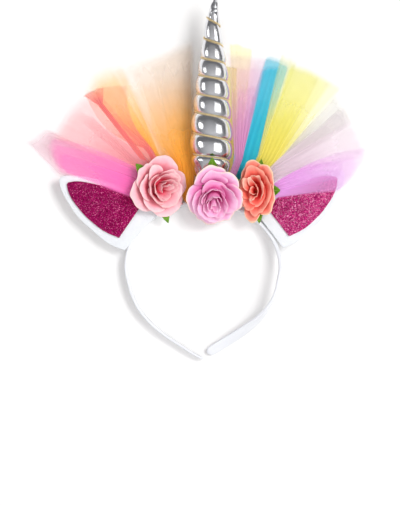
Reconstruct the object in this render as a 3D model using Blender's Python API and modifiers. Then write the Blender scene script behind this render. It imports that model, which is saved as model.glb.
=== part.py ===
"""Unicorn horn headband: a satin-covered hair band with a padded silver horn, two felt ears,
three paper roses and a fan of tulle.

It lies as it does on a table: the band on its back edge, roses up, horn along +Y.
Tables are in millimetres from the middle of the head loop, with Z up from the table.
"""

import math
from collections import namedtuple

import bmesh
import bpy
from mathutils import Matrix, Vector

MM = 0.001
GAP = 0.3
SHARP_ANGLE = 40

# Hair band, millimetres
BAND_WIDTH = 11.0
BAND_THICKNESS = 3.0
BAND_CHAMFER = 0.7
ARCH_HALF_WIDTH = 61.7
ARCH_HEIGHT = 52.1
ARCH_LIFT = 11.0
ARCH_LIFT_CURVE = 3.2
ARCH_STEP = 12
BAND_STEPS_PER_ROW = 2

BandRow = namedtuple("BandRow", "x y lift size twist")
LEFT_ARM = (
    BandRow(-60.2, -10.0, 0.0, 1.00, 0),
    BandRow(-56.6, -22.8, 0.0, 0.97, 0),
    BandRow(-50.4, -35.0, 0.0, 0.93, 0),
    BandRow(-41.3, -45.6, 0.0, 0.88, 0),
    BandRow(-30.2, -54.8, 0.0, 0.83, 0),
    BandRow(-17.6, -63.2, 0.0, 0.78, 0),
    BandRow(-8.0, -69.4, 0.0, 0.74, 0),
    BandRow(0.6, -74.0, 0.0, 0.66, 0),
)
RIGHT_ARM = (
    BandRow(60.5, -9.0, 12.5, 1.00, 0),
    BandRow(57.6, -21.5, 12.0, 0.98, 2),
    BandRow(52.2, -32.0, 10.4, 0.95, 10),
    BandRow(44.6, -41.2, 7.6, 0.91, 26),
    BandRow(33.6, -50.0, 4.4, 0.86, 44),
    BandRow(20.0, -59.0, 1.6, 0.81, 56),
    BandRow(10.0, -65.2, 0.4, 0.77, 60),
    BandRow(3.4, -69.2, 0.0, 0.70, 60),
)

# Ears, millimetres: half-widths along the leaf from the glitter's base edge
FELT_THICKNESS = 2.0
GLITTER_THICKNESS = 1.2
LEAF_STEPS_PER_ROW = 3
LeafRow = namedtuple("LeafRow", "along half_width")
FELT_LEAF = (
    LeafRow(-9.3, 18.2),
    LeafRow(2.0, 20.8),
    LeafRow(16.0, 20.6),
    LeafRow(36.6, 17.4),
    LeafRow(51.0, 12.0),
    LeafRow(60.6, 6.6),
    LeafRow(66.0, 1.6),
)
GLITTER_LEAF = (
    LeafRow(0.0, 12.6),
    LeafRow(14.0, 15.0),
    LeafRow(30.0, 13.8),
    LeafRow(44.0, 10.2),
    LeafRow(53.0, 6.0),
    LeafRow(58.6, 1.0),
)
Ear = namedtuple("Ear", "side x y heading seat_from seat_to facing_width")
EARS = (
    Ear("left", -60.0, 33.6, 145.5, 120.0, 150.0, 1.00),
    Ear("right", 60.4, 35.2, 37.6, 30.0, 58.0, 1.10),
)

# Horn, millimetres: centre and crest radius from the neck to the tip
HornRow = namedtuple("HornRow", "y x z radius")
HORN = (
    HornRow(54.1, 6.6, 6.6, 5.2),
    HornRow(60.0, 6.6, 9.3, 7.6),
    HornRow(68.0, 6.6, 12.8, 10.4),
    HornRow(76.0, 6.6, 15.6, 13.2),
    HornRow(86.0, 6.6, 17.4, 15.9),
    HornRow(98.0, 6.7, 18.4, 17.0),
    HornRow(110.0, 6.8, 18.8, 16.6),
    HornRow(124.0, 7.0, 19.4, 15.4),
    HornRow(138.0, 7.3, 20.8, 14.0),
    HornRow(152.0, 7.6, 22.4, 12.6),
    HornRow(166.0, 7.7, 24.0, 10.4),
    HornRow(180.0, 7.6, 25.8, 7.8),
    HornRow(195.0, 7.7, 27.6, 5.4),
    HornRow(208.0, 9.0, 28.8, 2.9),
    HornRow(217.0, 10.4, 29.6, 0.8),
)
HORN_SIDES = 14
HORN_RINGS = 64
PUFF_DEPTH = 0.10
CORD_DIAMETER = 1.5
CORD_CLEARANCE = 0.8
NECK_FADE = 8.0
# Heights up the horn at which the cord crosses its left side and its right side, from the tip
Winding = namedtuple("Winding", "left right")
WINDINGS = (
    Winding(198.9, 191.6),
    Winding(182.4, 175.8),
    Winding(167.0, 161.6),
    Winding(153.4, 147.4),
    Winding(138.6, 132.4),
    Winding(124.2, 116.8),
    Winding(107.6, 99.6),
    Winding(90.4, 84.6),
)

# Tulle, millimetres
TULLE_THICKNESS = 1.0
TULLE_ACROSS = 12
TULLE_ALONG = 3
TULLE_PLEATS = 3
GATHER_AT = 1 / TULLE_ALONG
GATHER_PLEAT = 0.4
FACE_SEAT = 0.45
Tulle = namedtuple(
    "Tulle",
    "name root seat root_width gather_x gather_y gather_z gather_width "
    "a_x a_y b_x b_y end_z bulge pleat",
)
TULLE = (
    Tulle("hot_pink", 121.5, "edge", 5.5, -53, 65, 16.6, 17, -109, 76, -117, 104, 16.8, 4, 0.7),
    Tulle("blush", 131.0, "face", 9, -58, 68, 5.6, 15, -125, 73, -131, 103, 2.8, 20, 1.4),
    Tulle("rose", 114.5, "edge", 5.5, -47, 74, 13.0, 11, -121, 110, -93, 135, 8.0, 5, 1.4),
    Tulle("coral", 107.5, "edge", 5.5, -36, 80, 12.6, 10, -89, 138, -62, 144, 8.0, 2, 1.4),
    Tulle("peach", 118.0, "face", 7, -38, 79, 5.6, 11, -96, 147, -67, 164, 2.4, 7, 1.4),
    Tulle("orange", 100.0, "edge", 6, -21, 80, 12.2, 11, -58, 145, -28, 154, 7.0, 2, 1.4),
    Tulle("ivory", 104.0, "face", 8, -20, 77, 5.2, 12, -66, 164, -12, 181, 2.2, 3, 1.4),
    Tulle("lemon", 75.0, "face", 4, 27.5, 84, 4.6, 5, 24, 177, 37, 175, 2.0, 1, 0.6),
    Tulle("mauve", 76.0, "edge", 5.5, 29.5, 82, 12.4, 7, 24, 172, 50, 168, 8.0, 2, 1.4),
    Tulle("blue", 68.5, "face", 6, 36, 82, 5.2, 8, 47, 165, 70, 165, 2.0, 2, 1.2),
    Tulle("yellow", 69.0, "edge", 6, 45, 80, 12.6, 14, 60, 163, 112, 143, 8.0, 5, 1.4),
    Tulle("white", 60.0, "face", 7, 51, 75, 5.4, 12, 96, 154, 119, 123, 2.2, 3, 1.4),
    Tulle("pale_lilac", 62.0, "edge", 5.5, 52, 69, 13.0, 9, 115, 130, 130, 99, 8.0, 3, 1.4),
    Tulle("lilac", 55.5, "edge", 5, 55, 60.5, 17.8, 14, 133, 94, 113, 66, 19.4, 3, 0.7),
)
TULLE_COLOURS = {
    "hot_pink": (0.98, 0.25, 0.58),
    "blush": (0.93, 0.72, 0.76),
    "rose": (0.96, 0.62, 0.66),
    "coral": (0.93, 0.32, 0.30),
    "peach": (0.99, 0.80, 0.58),
    "orange": (0.97, 0.55, 0.18),
    "ivory": (0.95, 0.91, 0.86),
    "lemon": (0.97, 0.95, 0.55),
    "mauve": (0.85, 0.62, 0.80),
    "blue": (0.0, 0.62, 0.76),
    "yellow": (0.96, 0.90, 0.35),
    "white": (0.92, 0.92, 0.90),
    "pale_lilac": (0.90, 0.85, 0.91),
    "lilac": (0.86, 0.60, 0.90),
}

# Roses, millimetres and degrees
PETAL_THICKNESS = 0.9
Rose = namedtuple("Rose", "side x y z lean_to lean half_width half_height spin outer inner")
ROSES = (
    Rose("left", -38.2, 64.4, 17.2, -25, 18, 24.2, 25.2, 20, (0.95, 0.66, 0.71), (0.84, 0.28, 0.38)),
    Rose("middle", 8.0, 61.6, 22.5, -90, 26, 23.0, 26.5, 65, (0.93, 0.62, 0.84), (0.86, 0.42, 0.72)),
    Rose("right", 44.0, 60.0, 19.1, 180, 10, 15.6, 23.6, 0, (0.91, 0.38, 0.34), (0.75, 0.06, 0.08)),
)
Whorl = namedtuple("Whorl", "name floor base reach rise opening lobes notch")
WHORLS = (
    Whorl("outer_petals", 0.0, 5.0, 1.00, 9.0, 1.6, 5, 0.20),
    Whorl("middle_petals", 1.2, 4.4, 0.74, 13.0, 1.3, 4, 0.16),
    Whorl("inner_petals", 2.4, 3.8, 0.49, 15.0, 1.1, 3, 0.14),
)
WHORL_SIDES = 22
WHORL_RINGS = 4
LOBE_SHARPNESS = 5
BUD_FLOOR = 3.7
BUD_RADIUS = 0.27
BUD_HEIGHT = 16.0
BUD_SIDES = 12
BUD_RINGS = 8
BUD_FOLDS = 3
BUD_FOLD_DEPTH = 0.14
BUD_FOLD_TWIST = 4
BUD_TAPER = 0.25
LEAF_DROP = 1.5
LEAF_THICKNESS = 0.9
LEAF_CORE = 8.0
LEAF_HUB = 6.0
LEAF_CURVE = 0.9
LEAF_FOLLOWS_PETALS = 0.6
LEAF_RISE = 3.5
LeafTip = namedtuple("LeafTip", "bearing reach")
LEAVES = {
    "left": (LeafTip(137, 26.0), LeafTip(-73, 28.0)),
    "middle": (LeafTip(92, 26.5), LeafTip(28, 24.0)),
    "right": (LeafTip(72, 17.6), LeafTip(2, 19.0), LeafTip(-84, 15.6)),
}
LEAF_HALF_ANGLE = 26.0
LEAF_SIDES = 30
LEAF_RINGS = 2

WHITE_SATIN = (0.93, 0.93, 0.95)
WHITE_FELT = (0.94, 0.94, 0.94)
MAGENTA_GLITTER = (0.42, 0.01, 0.16)
SILVER = (0.78, 0.78, 0.80)
GOLD = (0.80, 0.62, 0.32)
LEAF_GREEN = (0.23, 0.52, 0.05)


def clear_scene():
    for old in list(bpy.data.objects):
        bpy.data.objects.remove(old)


def material(name, colour, roughness, metallic=0.0):
    made = bpy.data.materials.new(name)
    made.use_nodes = True
    shader = made.node_tree.nodes["Principled BSDF"]
    shader.inputs["Base Color"].default_value = (*colour, 1.0)
    shader.inputs["Roughness"].default_value = roughness
    shader.inputs["Metallic"].default_value = metallic
    made.diffuse_color = (*colour, 1.0)
    return made


def add_mesh(parts, name, bm, finish):
    """A bmesh measured in millimetres becomes a smooth-shaded object in metres."""
    bmesh.ops.scale(bm, vec=(MM, MM, MM), verts=bm.verts)
    bmesh.ops.recalc_face_normals(bm, faces=bm.faces)
    mesh = bpy.data.meshes.new(name)
    bm.to_mesh(mesh)
    bm.free()
    mesh.materials.append(finish)
    mesh.shade_smooth()
    mesh.set_sharp_from_angle(angle=math.radians(SHARP_ANGLE))
    made = bpy.data.objects.new(name, mesh)
    parts.objects.link(made)
    return made


def add_wall(made, thickness):
    wall = made.modifiers.new("Wall", "SOLIDIFY")
    wall.thickness = thickness * MM
    wall.offset = 0.0


def catmull_rom(rows, steps):
    """Rows of numbers, smoothed: each gap between two rows gets this many steps."""
    rows = [Vector(row) for row in rows]
    ends = [rows[0] * 2 - rows[1], *rows, rows[-1] * 2 - rows[-2]]
    smooth = []
    for before, start, stop, after in zip(ends, ends[1:], ends[2:], ends[3:]):
        for step in range(steps):
            t = step / steps
            smooth.append(
                0.5
                * (
                    start * 2
                    + (stop - before) * t
                    + (before * 2 - start * 5 + stop * 4 - after) * t**2
                    + (start * 3 - before - stop * 3 + after) * t**3
                )
            )
    smooth.append(rows[-1])
    return smooth


def read_row(rows, key, value):
    """Straight-line values of a table whose first column rises, at one value of that column."""
    for low, high in zip(rows, rows[1:]):
        if value <= high[key] or high is rows[-1]:
            part = (value - low[key]) / (high[key] - low[key])
            return [a + (b - a) * part for a, b in zip(low, high)]
    return list(rows[0])


def arch_lift(degrees):
    """How far the band's back edge is off the table at an angle of the arch, 0 at its right."""
    return ARCH_LIFT * max(0.0, 1 - degrees / 90) ** ARCH_LIFT_CURVE


def arch_point(degrees, outward=0.0, up=0.0):
    angle = math.radians(degrees)
    x = (ARCH_HALF_WIDTH + outward) * math.cos(angle)
    y = (ARCH_HEIGHT + outward) * math.sin(angle)
    return Vector((x, y, arch_lift(degrees) + up))


def band_rows():
    arch = []
    for degrees in range(180, -1, -ARCH_STEP):
        point = arch_point(degrees)
        arch.append(BandRow(point.x, point.y, point.z, 1.0, 0.0))
    return [*reversed(LEFT_ARM), *arch, *RIGHT_ARM]


def make_band(parts):
    """Chamfered rectangles, lofted along the loop and turned over towards the right tip."""
    stations = catmull_rom(band_rows(), BAND_STEPS_PER_ROW)
    half_thick = BAND_THICKNESS / 2
    half_wide = BAND_WIDTH / 2
    inner_thick = half_thick - BAND_CHAMFER
    inner_wide = half_wide - BAND_CHAMFER
    outline = (
        (half_thick, -inner_wide),
        (half_thick, inner_wide),
        (inner_thick, half_wide),
        (-inner_thick, half_wide),
        (-half_thick, inner_wide),
        (-half_thick, -inner_wide),
        (-inner_thick, -half_wide),
        (inner_thick, -half_wide),
    )
    bm = bmesh.new()
    rings = []
    for index, row in enumerate(stations):
        x, y, lift, size, twist = row
        before = stations[max(index - 1, 0)]
        after = stations[min(index + 1, len(stations) - 1)]
        along = Vector((after[0] - before[0], after[1] - before[1], 0)).normalized()
        outward = Vector((-along.y, along.x, 0))
        turn = math.radians(twist)
        reach_down = size * (half_wide * math.cos(turn) + half_thick * math.sin(turn))
        centre = Vector((x, y, lift + reach_down))
        face = outward * math.cos(turn) + Vector((0, 0, 1)) * math.sin(turn)
        edge = Vector((0, 0, 1)) * math.cos(turn) - outward * math.sin(turn)
        rings.append([bm.verts.new(centre + (face * u + edge * v) * size) for u, v in outline])
    for ring, following in zip(rings, rings[1:]):
        for side in range(len(outline)):
            beside = (side + 1) % len(outline)
            bm.faces.new((ring[side], ring[beside], following[beside], following[side]))
    bm.faces.new(rings[0])
    bm.faces.new(rings[-1])
    add_mesh(parts, "hair_band", bm, material("white_satin", WHITE_SATIN, 0.35))


def add_leaf_plate(parts, name, rows, width, thickness, seat, finish):
    """A flat leaf outline filled and extruded, on a seat whose X runs along the leaf."""
    edge = catmull_rom(rows, LEAF_STEPS_PER_ROW)
    points = [(along, half * width) for along, half in edge]
    points += [(along, -half * width) for along, half in reversed(edge)]
    outline = bpy.data.curves.new(name, "CURVE")
    outline.dimensions = "2D"
    outline.fill_mode = "BOTH"
    outline.extrude = thickness * MM / 2
    spline = outline.splines.new("POLY")
    spline.points.add(len(points) - 1)
    for point, (x, y) in zip(spline.points, points):
        point.co = (x * MM, y * MM, 0, 1)
    spline.use_cyclic_u = True
    outline.materials.append(finish)
    made = bpy.data.objects.new(name, outline)
    made.matrix_world = seat @ Matrix.Translation((0, 0, thickness * MM / 2))
    parts.objects.link(made)


def make_ears(parts):
    for ear in EARS:
        heading = math.radians(ear.heading)
        low = arch_point(ear.seat_from, up=BAND_WIDTH)
        high = arch_point(ear.seat_to, up=BAND_WIDTH)
        along = Vector((math.cos(heading), math.sin(heading), 0))
        across = Vector((-along.y, along.x, 0))
        slope = (high.z - low.z) / (high - low).dot(across)
        across = (across + Vector((0, 0, slope))).normalized()
        face = along.cross(across)
        centre = Vector((ear.x, ear.y, 0))
        middle = (low + high) / 2
        centre.z = middle.z + slope * (centre - middle).dot(Vector((-along.y, along.x, 0))) + GAP
        seat = Matrix((along, across, face)).transposed().to_4x4()
        seat.translation = centre * MM
        felt = material(f"white_felt_{ear.side}", WHITE_FELT, 0.95)
        glitter = material(f"magenta_glitter_{ear.side}", MAGENTA_GLITTER, 0.4)
        add_leaf_plate(parts, f"ear_felt_{ear.side}", FELT_LEAF, 1.0, FELT_THICKNESS, seat, felt)
        raised = seat @ Matrix.Translation((0, 0, (FELT_THICKNESS + GAP) * MM))
        add_leaf_plate(
            parts,
            f"ear_glitter_{ear.side}",
            GLITTER_LEAF,
            ear.facing_width,
            GLITTER_THICKNESS,
            raised,
            glitter,
        )


def winding_heights():
    """Heights of the cord at every half turn, from the tip down."""
    return [height for winding in WINDINGS for height in winding]


def turn_at(height):
    """How many turns the cord has made on its way down to this height."""
    heights = winding_heights()
    for index, (upper, lower) in enumerate(zip(heights, heights[1:])):
        if height >= lower or index == len(heights) - 2:
            return (index + (upper - height) / (upper - lower)) / 2
    return 0.0


def height_at(turn):
    heights = winding_heights()
    index = min(int(turn * 2), len(heights) - 2)
    return heights[index] + (heights[index + 1] - heights[index]) * (turn * 2 - index)


def horn_radius(height, bearing):
    """Crest radius, drawn in where the cord binds it; bearing 0 is the left side, then over the top."""
    radius = read_row(HORN, 0, height)[3]
    heights = winding_heights()
    fade = min(1.0, max(0.0, (height - heights[-1] + NECK_FADE) / NECK_FADE))
    phase = turn_at(height) - bearing / math.tau
    valley = (0.5 + 0.5 * math.cos(math.tau * phase)) ** 2
    return radius * (1 - PUFF_DEPTH * valley * fade)


def horn_point(height, bearing, radius):
    _, x, z, _ = read_row(HORN, 0, height)
    return Vector((x - radius * math.cos(bearing), height, z + radius * math.sin(bearing)))


def make_horn(parts):
    """A sphere's rings, drawn out between the neck and the tip."""
    bm = bmesh.new()
    bmesh.ops.create_uvsphere(bm, u_segments=HORN_SIDES, v_segments=HORN_RINGS, radius=1.0)
    neck = HORN[0].y
    tip = HORN[-1].y
    for vert in bm.verts:
        ring = round(math.acos(max(-1.0, min(1.0, vert.co.z))) / math.pi * HORN_RINGS)
        bearing = math.atan2(vert.co.y, vert.co.x)
        height = tip - (tip - neck) * min(ring / (HORN_RINGS - 1), 1.0)
        pole = ring in (0, HORN_RINGS)
        radius = 0.0 if pole else horn_radius(height, bearing)
        vert.co = horn_point(height, bearing, radius)
        if ring == 0:
            vert.co.y += HORN[-1].radius
    add_mesh(parts, "horn", bm, material("silver_foil_cloth", SILVER, 0.15, 1.0))


def make_horn_cord(parts):
    """A left-handed helix that follows the horn's valley down from near the tip."""
    turns = len(winding_heights()) / 2 - 0.5
    count = round(turns * HORN_SIDES)
    path = bpy.data.curves.new("horn_cord", "CURVE")
    path.dimensions = "3D"
    path.bevel_depth = CORD_DIAMETER * MM / 2
    path.bevel_resolution = 1
    path.use_fill_caps = True
    spline = path.splines.new("POLY")
    spline.points.add(count)
    for index, point in enumerate(spline.points):
        turn = index / HORN_SIDES
        height = height_at(turn)
        seat = read_row(HORN, 0, height)[3] * (1 - PUFF_DEPTH)
        radius = seat + CORD_DIAMETER / 2 + CORD_CLEARANCE
        point.co = (*(horn_point(height, turn * math.tau, radius) * MM), 1)
    path.materials.append(material("gold_cord", GOLD, 0.3, 1.0))
    made = bpy.data.objects.new("horn_cord", path)
    parts.objects.link(made)


def tulle_seat(strip):
    """Where a strip is held: on the band's front edge, or against its outer face."""
    half = TULLE_THICKNESS / 2
    if strip.seat == "edge":
        return arch_point(strip.root, up=BAND_WIDTH + GAP + half)
    return arch_point(strip.root, outward=BAND_THICKNESS / 2 + GAP, up=BAND_WIDTH * FACE_SEAT)


def tulle_point(strip, u, v):
    """A point of a strip, u across it and v along it from its held end, both from 0 to 1."""
    root = tulle_seat(strip)
    angle = math.radians(strip.root)
    tangent = Vector((ARCH_HALF_WIDTH * math.sin(angle), -ARCH_HEIGHT * math.cos(angle), 0))
    gather = Vector((strip.gather_x, strip.gather_y, strip.gather_z))
    end_a = Vector((strip.a_x, strip.a_y, strip.end_z))
    end_b = Vector((strip.b_x, strip.b_y, strip.end_z))
    across = (end_b - end_a).normalized()
    outward = ((end_a + end_b) / 2 - gather).normalized()
    side = u - 0.5
    fold = math.cos(math.tau * TULLE_PLEATS * u)
    at_gather = gather + across * (side * strip.gather_width)
    if v < GATHER_AT:
        part = v / GATHER_AT
        at_root = root + tangent.normalized() * (side * strip.root_width)
        point = at_root.lerp(at_gather, part)
        point.z += GATHER_PLEAT * part * fold
    else:
        part = (v - GATHER_AT) / (1 - GATHER_AT)
        rounding = strip.bulge * (1 - (2 * side) ** 2)
        at_end = end_a.lerp(end_b, u) + outward * rounding
        point = at_gather.lerp(at_end, part)
        point.z += (GATHER_PLEAT + (strip.pleat - GATHER_PLEAT) * part) * fold
    return point


def make_tulle(parts):
    """A flat grid, bent into a gathered fan: held narrow at the band and opening outwards."""
    for strip in TULLE:
        bm = bmesh.new()
        bmesh.ops.create_grid(bm, x_segments=TULLE_ACROSS, y_segments=TULLE_ALONG, size=0.5)
        for vert in bm.verts:
            vert.co = tulle_point(strip, vert.co.x + 0.5, vert.co.y + 0.5)
        finish = material(f"tulle_{strip.name}", TULLE_COLOURS[strip.name], 0.9)
        made = add_mesh(parts, f"tulle_{strip.name}", bm, finish)
        add_wall(made, TULLE_THICKNESS)


def polar_sheet(rings, sides):
    """A flat disc of radius 1 as rings of vertices round a middle one."""
    bm = bmesh.new()
    row = [bm.verts.new((ring / rings, 0, 0)) for ring in range(rings + 1)]
    edges = [bm.edges.new(pair) for pair in zip(row, row[1:])]
    bmesh.ops.spin(
        bm,
        geom=row + edges,
        cent=(0, 0, 0),
        axis=(0, 0, 1),
        angle=math.tau,
        steps=sides,
        use_merge=True,
    )
    bmesh.ops.remove_doubles(bm, verts=bm.verts, dist=1e-5)
    return bm


def rose_frame(rose):
    """Matrix from a rose's own millimetres to the headband's: leaning, oval and in its place."""
    lean_to = math.radians(rose.lean_to)
    axis = Vector((-math.sin(lean_to), math.cos(lean_to), 0))
    lean = Matrix.Rotation(math.radians(rose.lean), 4, axis)
    oval = Matrix.Diagonal((1, rose.half_height / rose.half_width, 1, 1))
    return Matrix.Translation((rose.x, rose.y, rose.z)) @ lean @ oval


def whorl_height(whorl, radius, reach):
    """Height of a whorl's cup at a distance from the rose's middle."""
    part = max(0.0, radius - whorl.base) / (reach - whorl.base)
    return whorl.floor + whorl.rise * part**whorl.opening


def add_whorl(parts, rose, whorl, finish):
    reach = rose.half_width * whorl.reach
    bm = polar_sheet(WHORL_RINGS, WHORL_SIDES)
    spin = math.radians(rose.spin)
    for vert in bm.verts:
        bearing = math.atan2(vert.co.y, vert.co.x)
        ring = round(math.hypot(vert.co.x, vert.co.y) * WHORL_RINGS)
        part = max(0, ring - 1) / (WHORL_RINGS - 1)
        cut = abs(math.cos(whorl.lobes * (bearing + spin) / 2)) ** LOBE_SHARPNESS
        radius = whorl.base + part * (reach * (1 - whorl.notch * cut) - whorl.base)
        if ring == 0:
            radius = 0.0
        vert.co = Vector(
            (
                radius * math.cos(bearing),
                radius * math.sin(bearing),
                whorl_height(whorl, radius, reach),
            )
        )
    bm.transform(rose_frame(rose))
    made = add_mesh(parts, f"rose_{rose.side}_{whorl.name}", bm, finish)
    add_wall(made, PETAL_THICKNESS)


def add_bud(parts, rose, finish):
    """The rolled heart of the rose: an upright egg with a flat foot and a spiral fold."""
    bm = bmesh.new()
    bmesh.ops.create_uvsphere(bm, u_segments=BUD_SIDES, v_segments=BUD_RINGS, radius=1.0)
    for vert in bm.verts:
        bearing = math.atan2(vert.co.y, vert.co.x)
        up = (vert.co.z + 1) / 2
        belly = math.sqrt(max(0.0, 1 - vert.co.z**2))
        fold = 1 + BUD_FOLD_DEPTH * math.cos(BUD_FOLDS * bearing + BUD_FOLD_TWIST * up)
        radius = rose.half_width * BUD_RADIUS * belly * fold * (1 - BUD_TAPER * up)
        vert.co = Vector(
            (
                radius * math.cos(bearing),
                radius * math.sin(bearing),
                BUD_FLOOR + BUD_HEIGHT * up,
            )
        )
    bm.transform(rose_frame(rose))
    add_mesh(parts, f"rose_{rose.side}_bud", bm, finish)


def add_leaves(parts, rose, finish):
    """A green paper star under the petals, its points cut as leaves."""
    outer = WHORLS[0]
    bm = polar_sheet(LEAF_RINGS, LEAF_SIDES)
    for vert in bm.verts:
        bearing = math.atan2(vert.co.y, vert.co.x)
        ring = round(math.hypot(vert.co.x, vert.co.y) * LEAF_RINGS)
        edge = LEAF_CORE
        for leaf in LEAVES[rose.side]:
            apart = abs((math.degrees(bearing) - leaf.bearing + 180) % 360 - 180)
            point = max(0.0, 1 - apart / LEAF_HALF_ANGLE)
            edge = max(edge, LEAF_CORE + (leaf.reach - LEAF_CORE) * point**LEAF_CURVE)
        radius = (0.0, LEAF_HUB, edge)[ring]
        rise = min(LEAF_FOLLOWS_PETALS * whorl_height(outer, radius, rose.half_width), LEAF_RISE)
        vert.co = Vector((radius * math.cos(bearing), radius * math.sin(bearing), rise - LEAF_DROP))
    bm.transform(rose_frame(rose))
    made = add_mesh(parts, f"leaves_{rose.side}", bm, finish)
    add_wall(made, LEAF_THICKNESS)


def make_roses(parts):
    for rose in ROSES:
        petals = material(f"paper_petals_{rose.side}", rose.outer, 0.7)
        heart = material(f"paper_heart_{rose.side}", rose.inner, 0.7)
        for whorl in WHORLS:
            add_whorl(parts, rose, whorl, petals)
        add_bud(parts, rose, heart)
        add_leaves(parts, rose, material(f"leaf_green_{rose.side}", LEAF_GREEN, 0.6))


def centre_on_table(parts):
    """Moves everything so that the middle of the whole box is over the origin."""
    bpy.context.view_layer.update()
    depsgraph = bpy.context.evaluated_depsgraph_get()
    corners = []
    for made in parts.objects:
        seen = made.evaluated_get(depsgraph)
        mesh = seen.to_mesh()
        corners += [seen.matrix_world @ vert.co for vert in mesh.vertices]
        seen.to_mesh_clear()
    low = Vector(map(min, zip(*corners)))
    high = Vector(map(max, zip(*corners)))
    shift = Vector((-(low.x + high.x) / 2, -(low.y + high.y) / 2, -low.z))
    for made in parts.objects:
        made.location += shift
    print("shift", [round(value / MM, 3) for value in shift])


def main():
    clear_scene()
    parts = bpy.data.collections.new("unicorn_horn_headband")
    bpy.context.scene.collection.children.link(parts)
    make_band(parts)
    make_ears(parts)
    make_horn(parts)
    make_horn_cord(parts)
    make_tulle(parts)
    make_roses(parts)
    centre_on_table(parts)


main()
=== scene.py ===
# %% [markdown]
# A hair band wrapped in white satin carries a padded silver horn bound with gold cord, two felt
# ears faced with glitter cloth, three paper roses and a fan of tulle. It lies on a table and is
# seen from straight above. The frame holds every solid at its real size. Each piece below is
# built on its solid's place, with the finer shape and the finish that the real piece has.

# %% Load the frame
import math
from collections import namedtuple

import bpy
import numpy as np
from mathutils import Matrix, Vector, noise


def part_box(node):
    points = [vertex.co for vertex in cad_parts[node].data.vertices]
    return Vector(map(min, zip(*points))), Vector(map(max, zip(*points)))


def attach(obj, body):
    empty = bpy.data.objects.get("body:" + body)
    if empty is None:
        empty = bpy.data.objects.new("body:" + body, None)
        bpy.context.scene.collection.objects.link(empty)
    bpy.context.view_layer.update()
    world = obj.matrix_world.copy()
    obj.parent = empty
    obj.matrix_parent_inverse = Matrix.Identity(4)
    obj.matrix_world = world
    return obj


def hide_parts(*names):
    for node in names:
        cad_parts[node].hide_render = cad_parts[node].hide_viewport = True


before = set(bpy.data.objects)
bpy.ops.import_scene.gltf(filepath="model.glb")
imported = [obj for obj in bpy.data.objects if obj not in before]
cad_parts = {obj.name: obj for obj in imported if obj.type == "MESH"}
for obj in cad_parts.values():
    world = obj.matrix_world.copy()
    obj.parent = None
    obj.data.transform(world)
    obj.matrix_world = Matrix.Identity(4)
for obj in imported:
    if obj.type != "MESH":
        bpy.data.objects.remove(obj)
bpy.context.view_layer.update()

print("CAD nodes", len(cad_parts))

# %% [markdown]
# Tables below are in millimetres from the middle of the head loop, X to the right, Y up the
# picture and Z up from the table. The band gives that middle: it is as wide to the left as to
# the right, and its arch ends 53.6 mm above the middle. Places go through one function, so a
# table never needs to know where the whole object's box happens to be centred.

# %% Find the middle of the head loop
MM = 0.001
ARCH_TOP = 53.6
band_low, band_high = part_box("hair_band")
LOOP_MIDDLE = np.array([(band_low.x + band_high.x) / 2, band_high.y - ARCH_TOP * MM, 0.0])


def in_frame(points):
    """Millimetres from the loop's middle become metres in the frame."""
    return np.asarray(points, float) * MM + LOOP_MIDDLE


print("loop middle", LOOP_MIDDLE.round(4))

# %% [markdown]
# Camera, floor and light come first, because every finish is judged in them. The photograph
# looks straight down from far away, so a long lens stands 2.5 m up. One picture height covers
# 404 mm of table. The table is plain and so bright that it is almost pure white.

# %% Camera above the middle of the picture
PICTURE_HEIGHT = 0.404
CAMERA_DISTANCE = 2.5
SHARP_HEIGHT = 0.012
PICTURE_MIDDLE = in_frame((-2.4, 11.6, 0))

bpy.ops.object.select_all(action="DESELECT")
bpy.ops.object.camera_add(
    location=(PICTURE_MIDDLE[0], PICTURE_MIDDLE[1], SHARP_HEIGHT + CAMERA_DISTANCE), rotation=(0, 0, 0)
)
camera = bpy.context.object
camera.data.sensor_fit = "VERTICAL"
camera.data.lens = camera.data.sensor_height * CAMERA_DISTANCE / PICTURE_HEIGHT
camera.data.clip_end = 50
bpy.context.scene.camera = camera
print("lens", round(camera.data.lens, 1), "mm")

# %% [markdown]
# The key light stands high, up and to the right of the horn, and draws the soft shadows. A second
# softbox on the right is seen in the foil as the broad white highlight right of the horn's ridge,
# and a small lamp on the left makes the second row of highlights. A wide warm fill above lifts
# the shadows. Key and fill are kept out of mirror images, so that only two highlights show. The
# room is brighter towards the viewer's side and dark beyond the horn's tip, which gives each
# pillow its grey face and its dark upper edge.

# %% Softboxes
LIT_PLACE = (0, 80, 10)
Softbox = namedtuple("Softbox", "name toward distance size power colour mirrored")
SOFTBOXES = (
    Softbox("key_softbox", (0.45, 0.27, 0.85), 2.4, (0.9, 0.9), 30, (1.0, 1.0, 0.995), False),
    Softbox("side_softbox", (0.62, -0.10, 0.77), 2.4, (1.95, 1.45), 15, (1.0, 1.0, 1.0), True),
    Softbox("left_lamp", (-0.86, 0.02, 0.46), 2.4, (0.8, 0.8), 7, (0.98, 0.99, 1.0), True),
    Softbox("top_fill", (-0.15, -0.3, 1.0), 3.0, (2.2, 2.2), 23, (1.0, 0.968, 0.955), False),
)


def add_softbox(softbox):
    """A rectangular light that looks at the roses and the horn from a direction."""
    direction = Vector(softbox.toward).normalized()
    aim = Vector(in_frame(LIT_PLACE))
    bpy.ops.object.light_add(type="AREA", location=aim + direction * softbox.distance)
    box = bpy.context.object
    box.name = softbox.name
    box.rotation_euler = direction.to_track_quat("Z", "Y").to_euler()
    box.data.shape = "RECTANGLE"
    box.data.size, box.data.size_y = softbox.size
    box.data.energy = softbox.power
    box.data.color = softbox.colour
    box.visible_glossy = softbox.mirrored


for softbox in SOFTBOXES:
    add_softbox(softbox)
print("lights", [light.name for light in bpy.data.objects if light.type == "LIGHT"])

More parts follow.
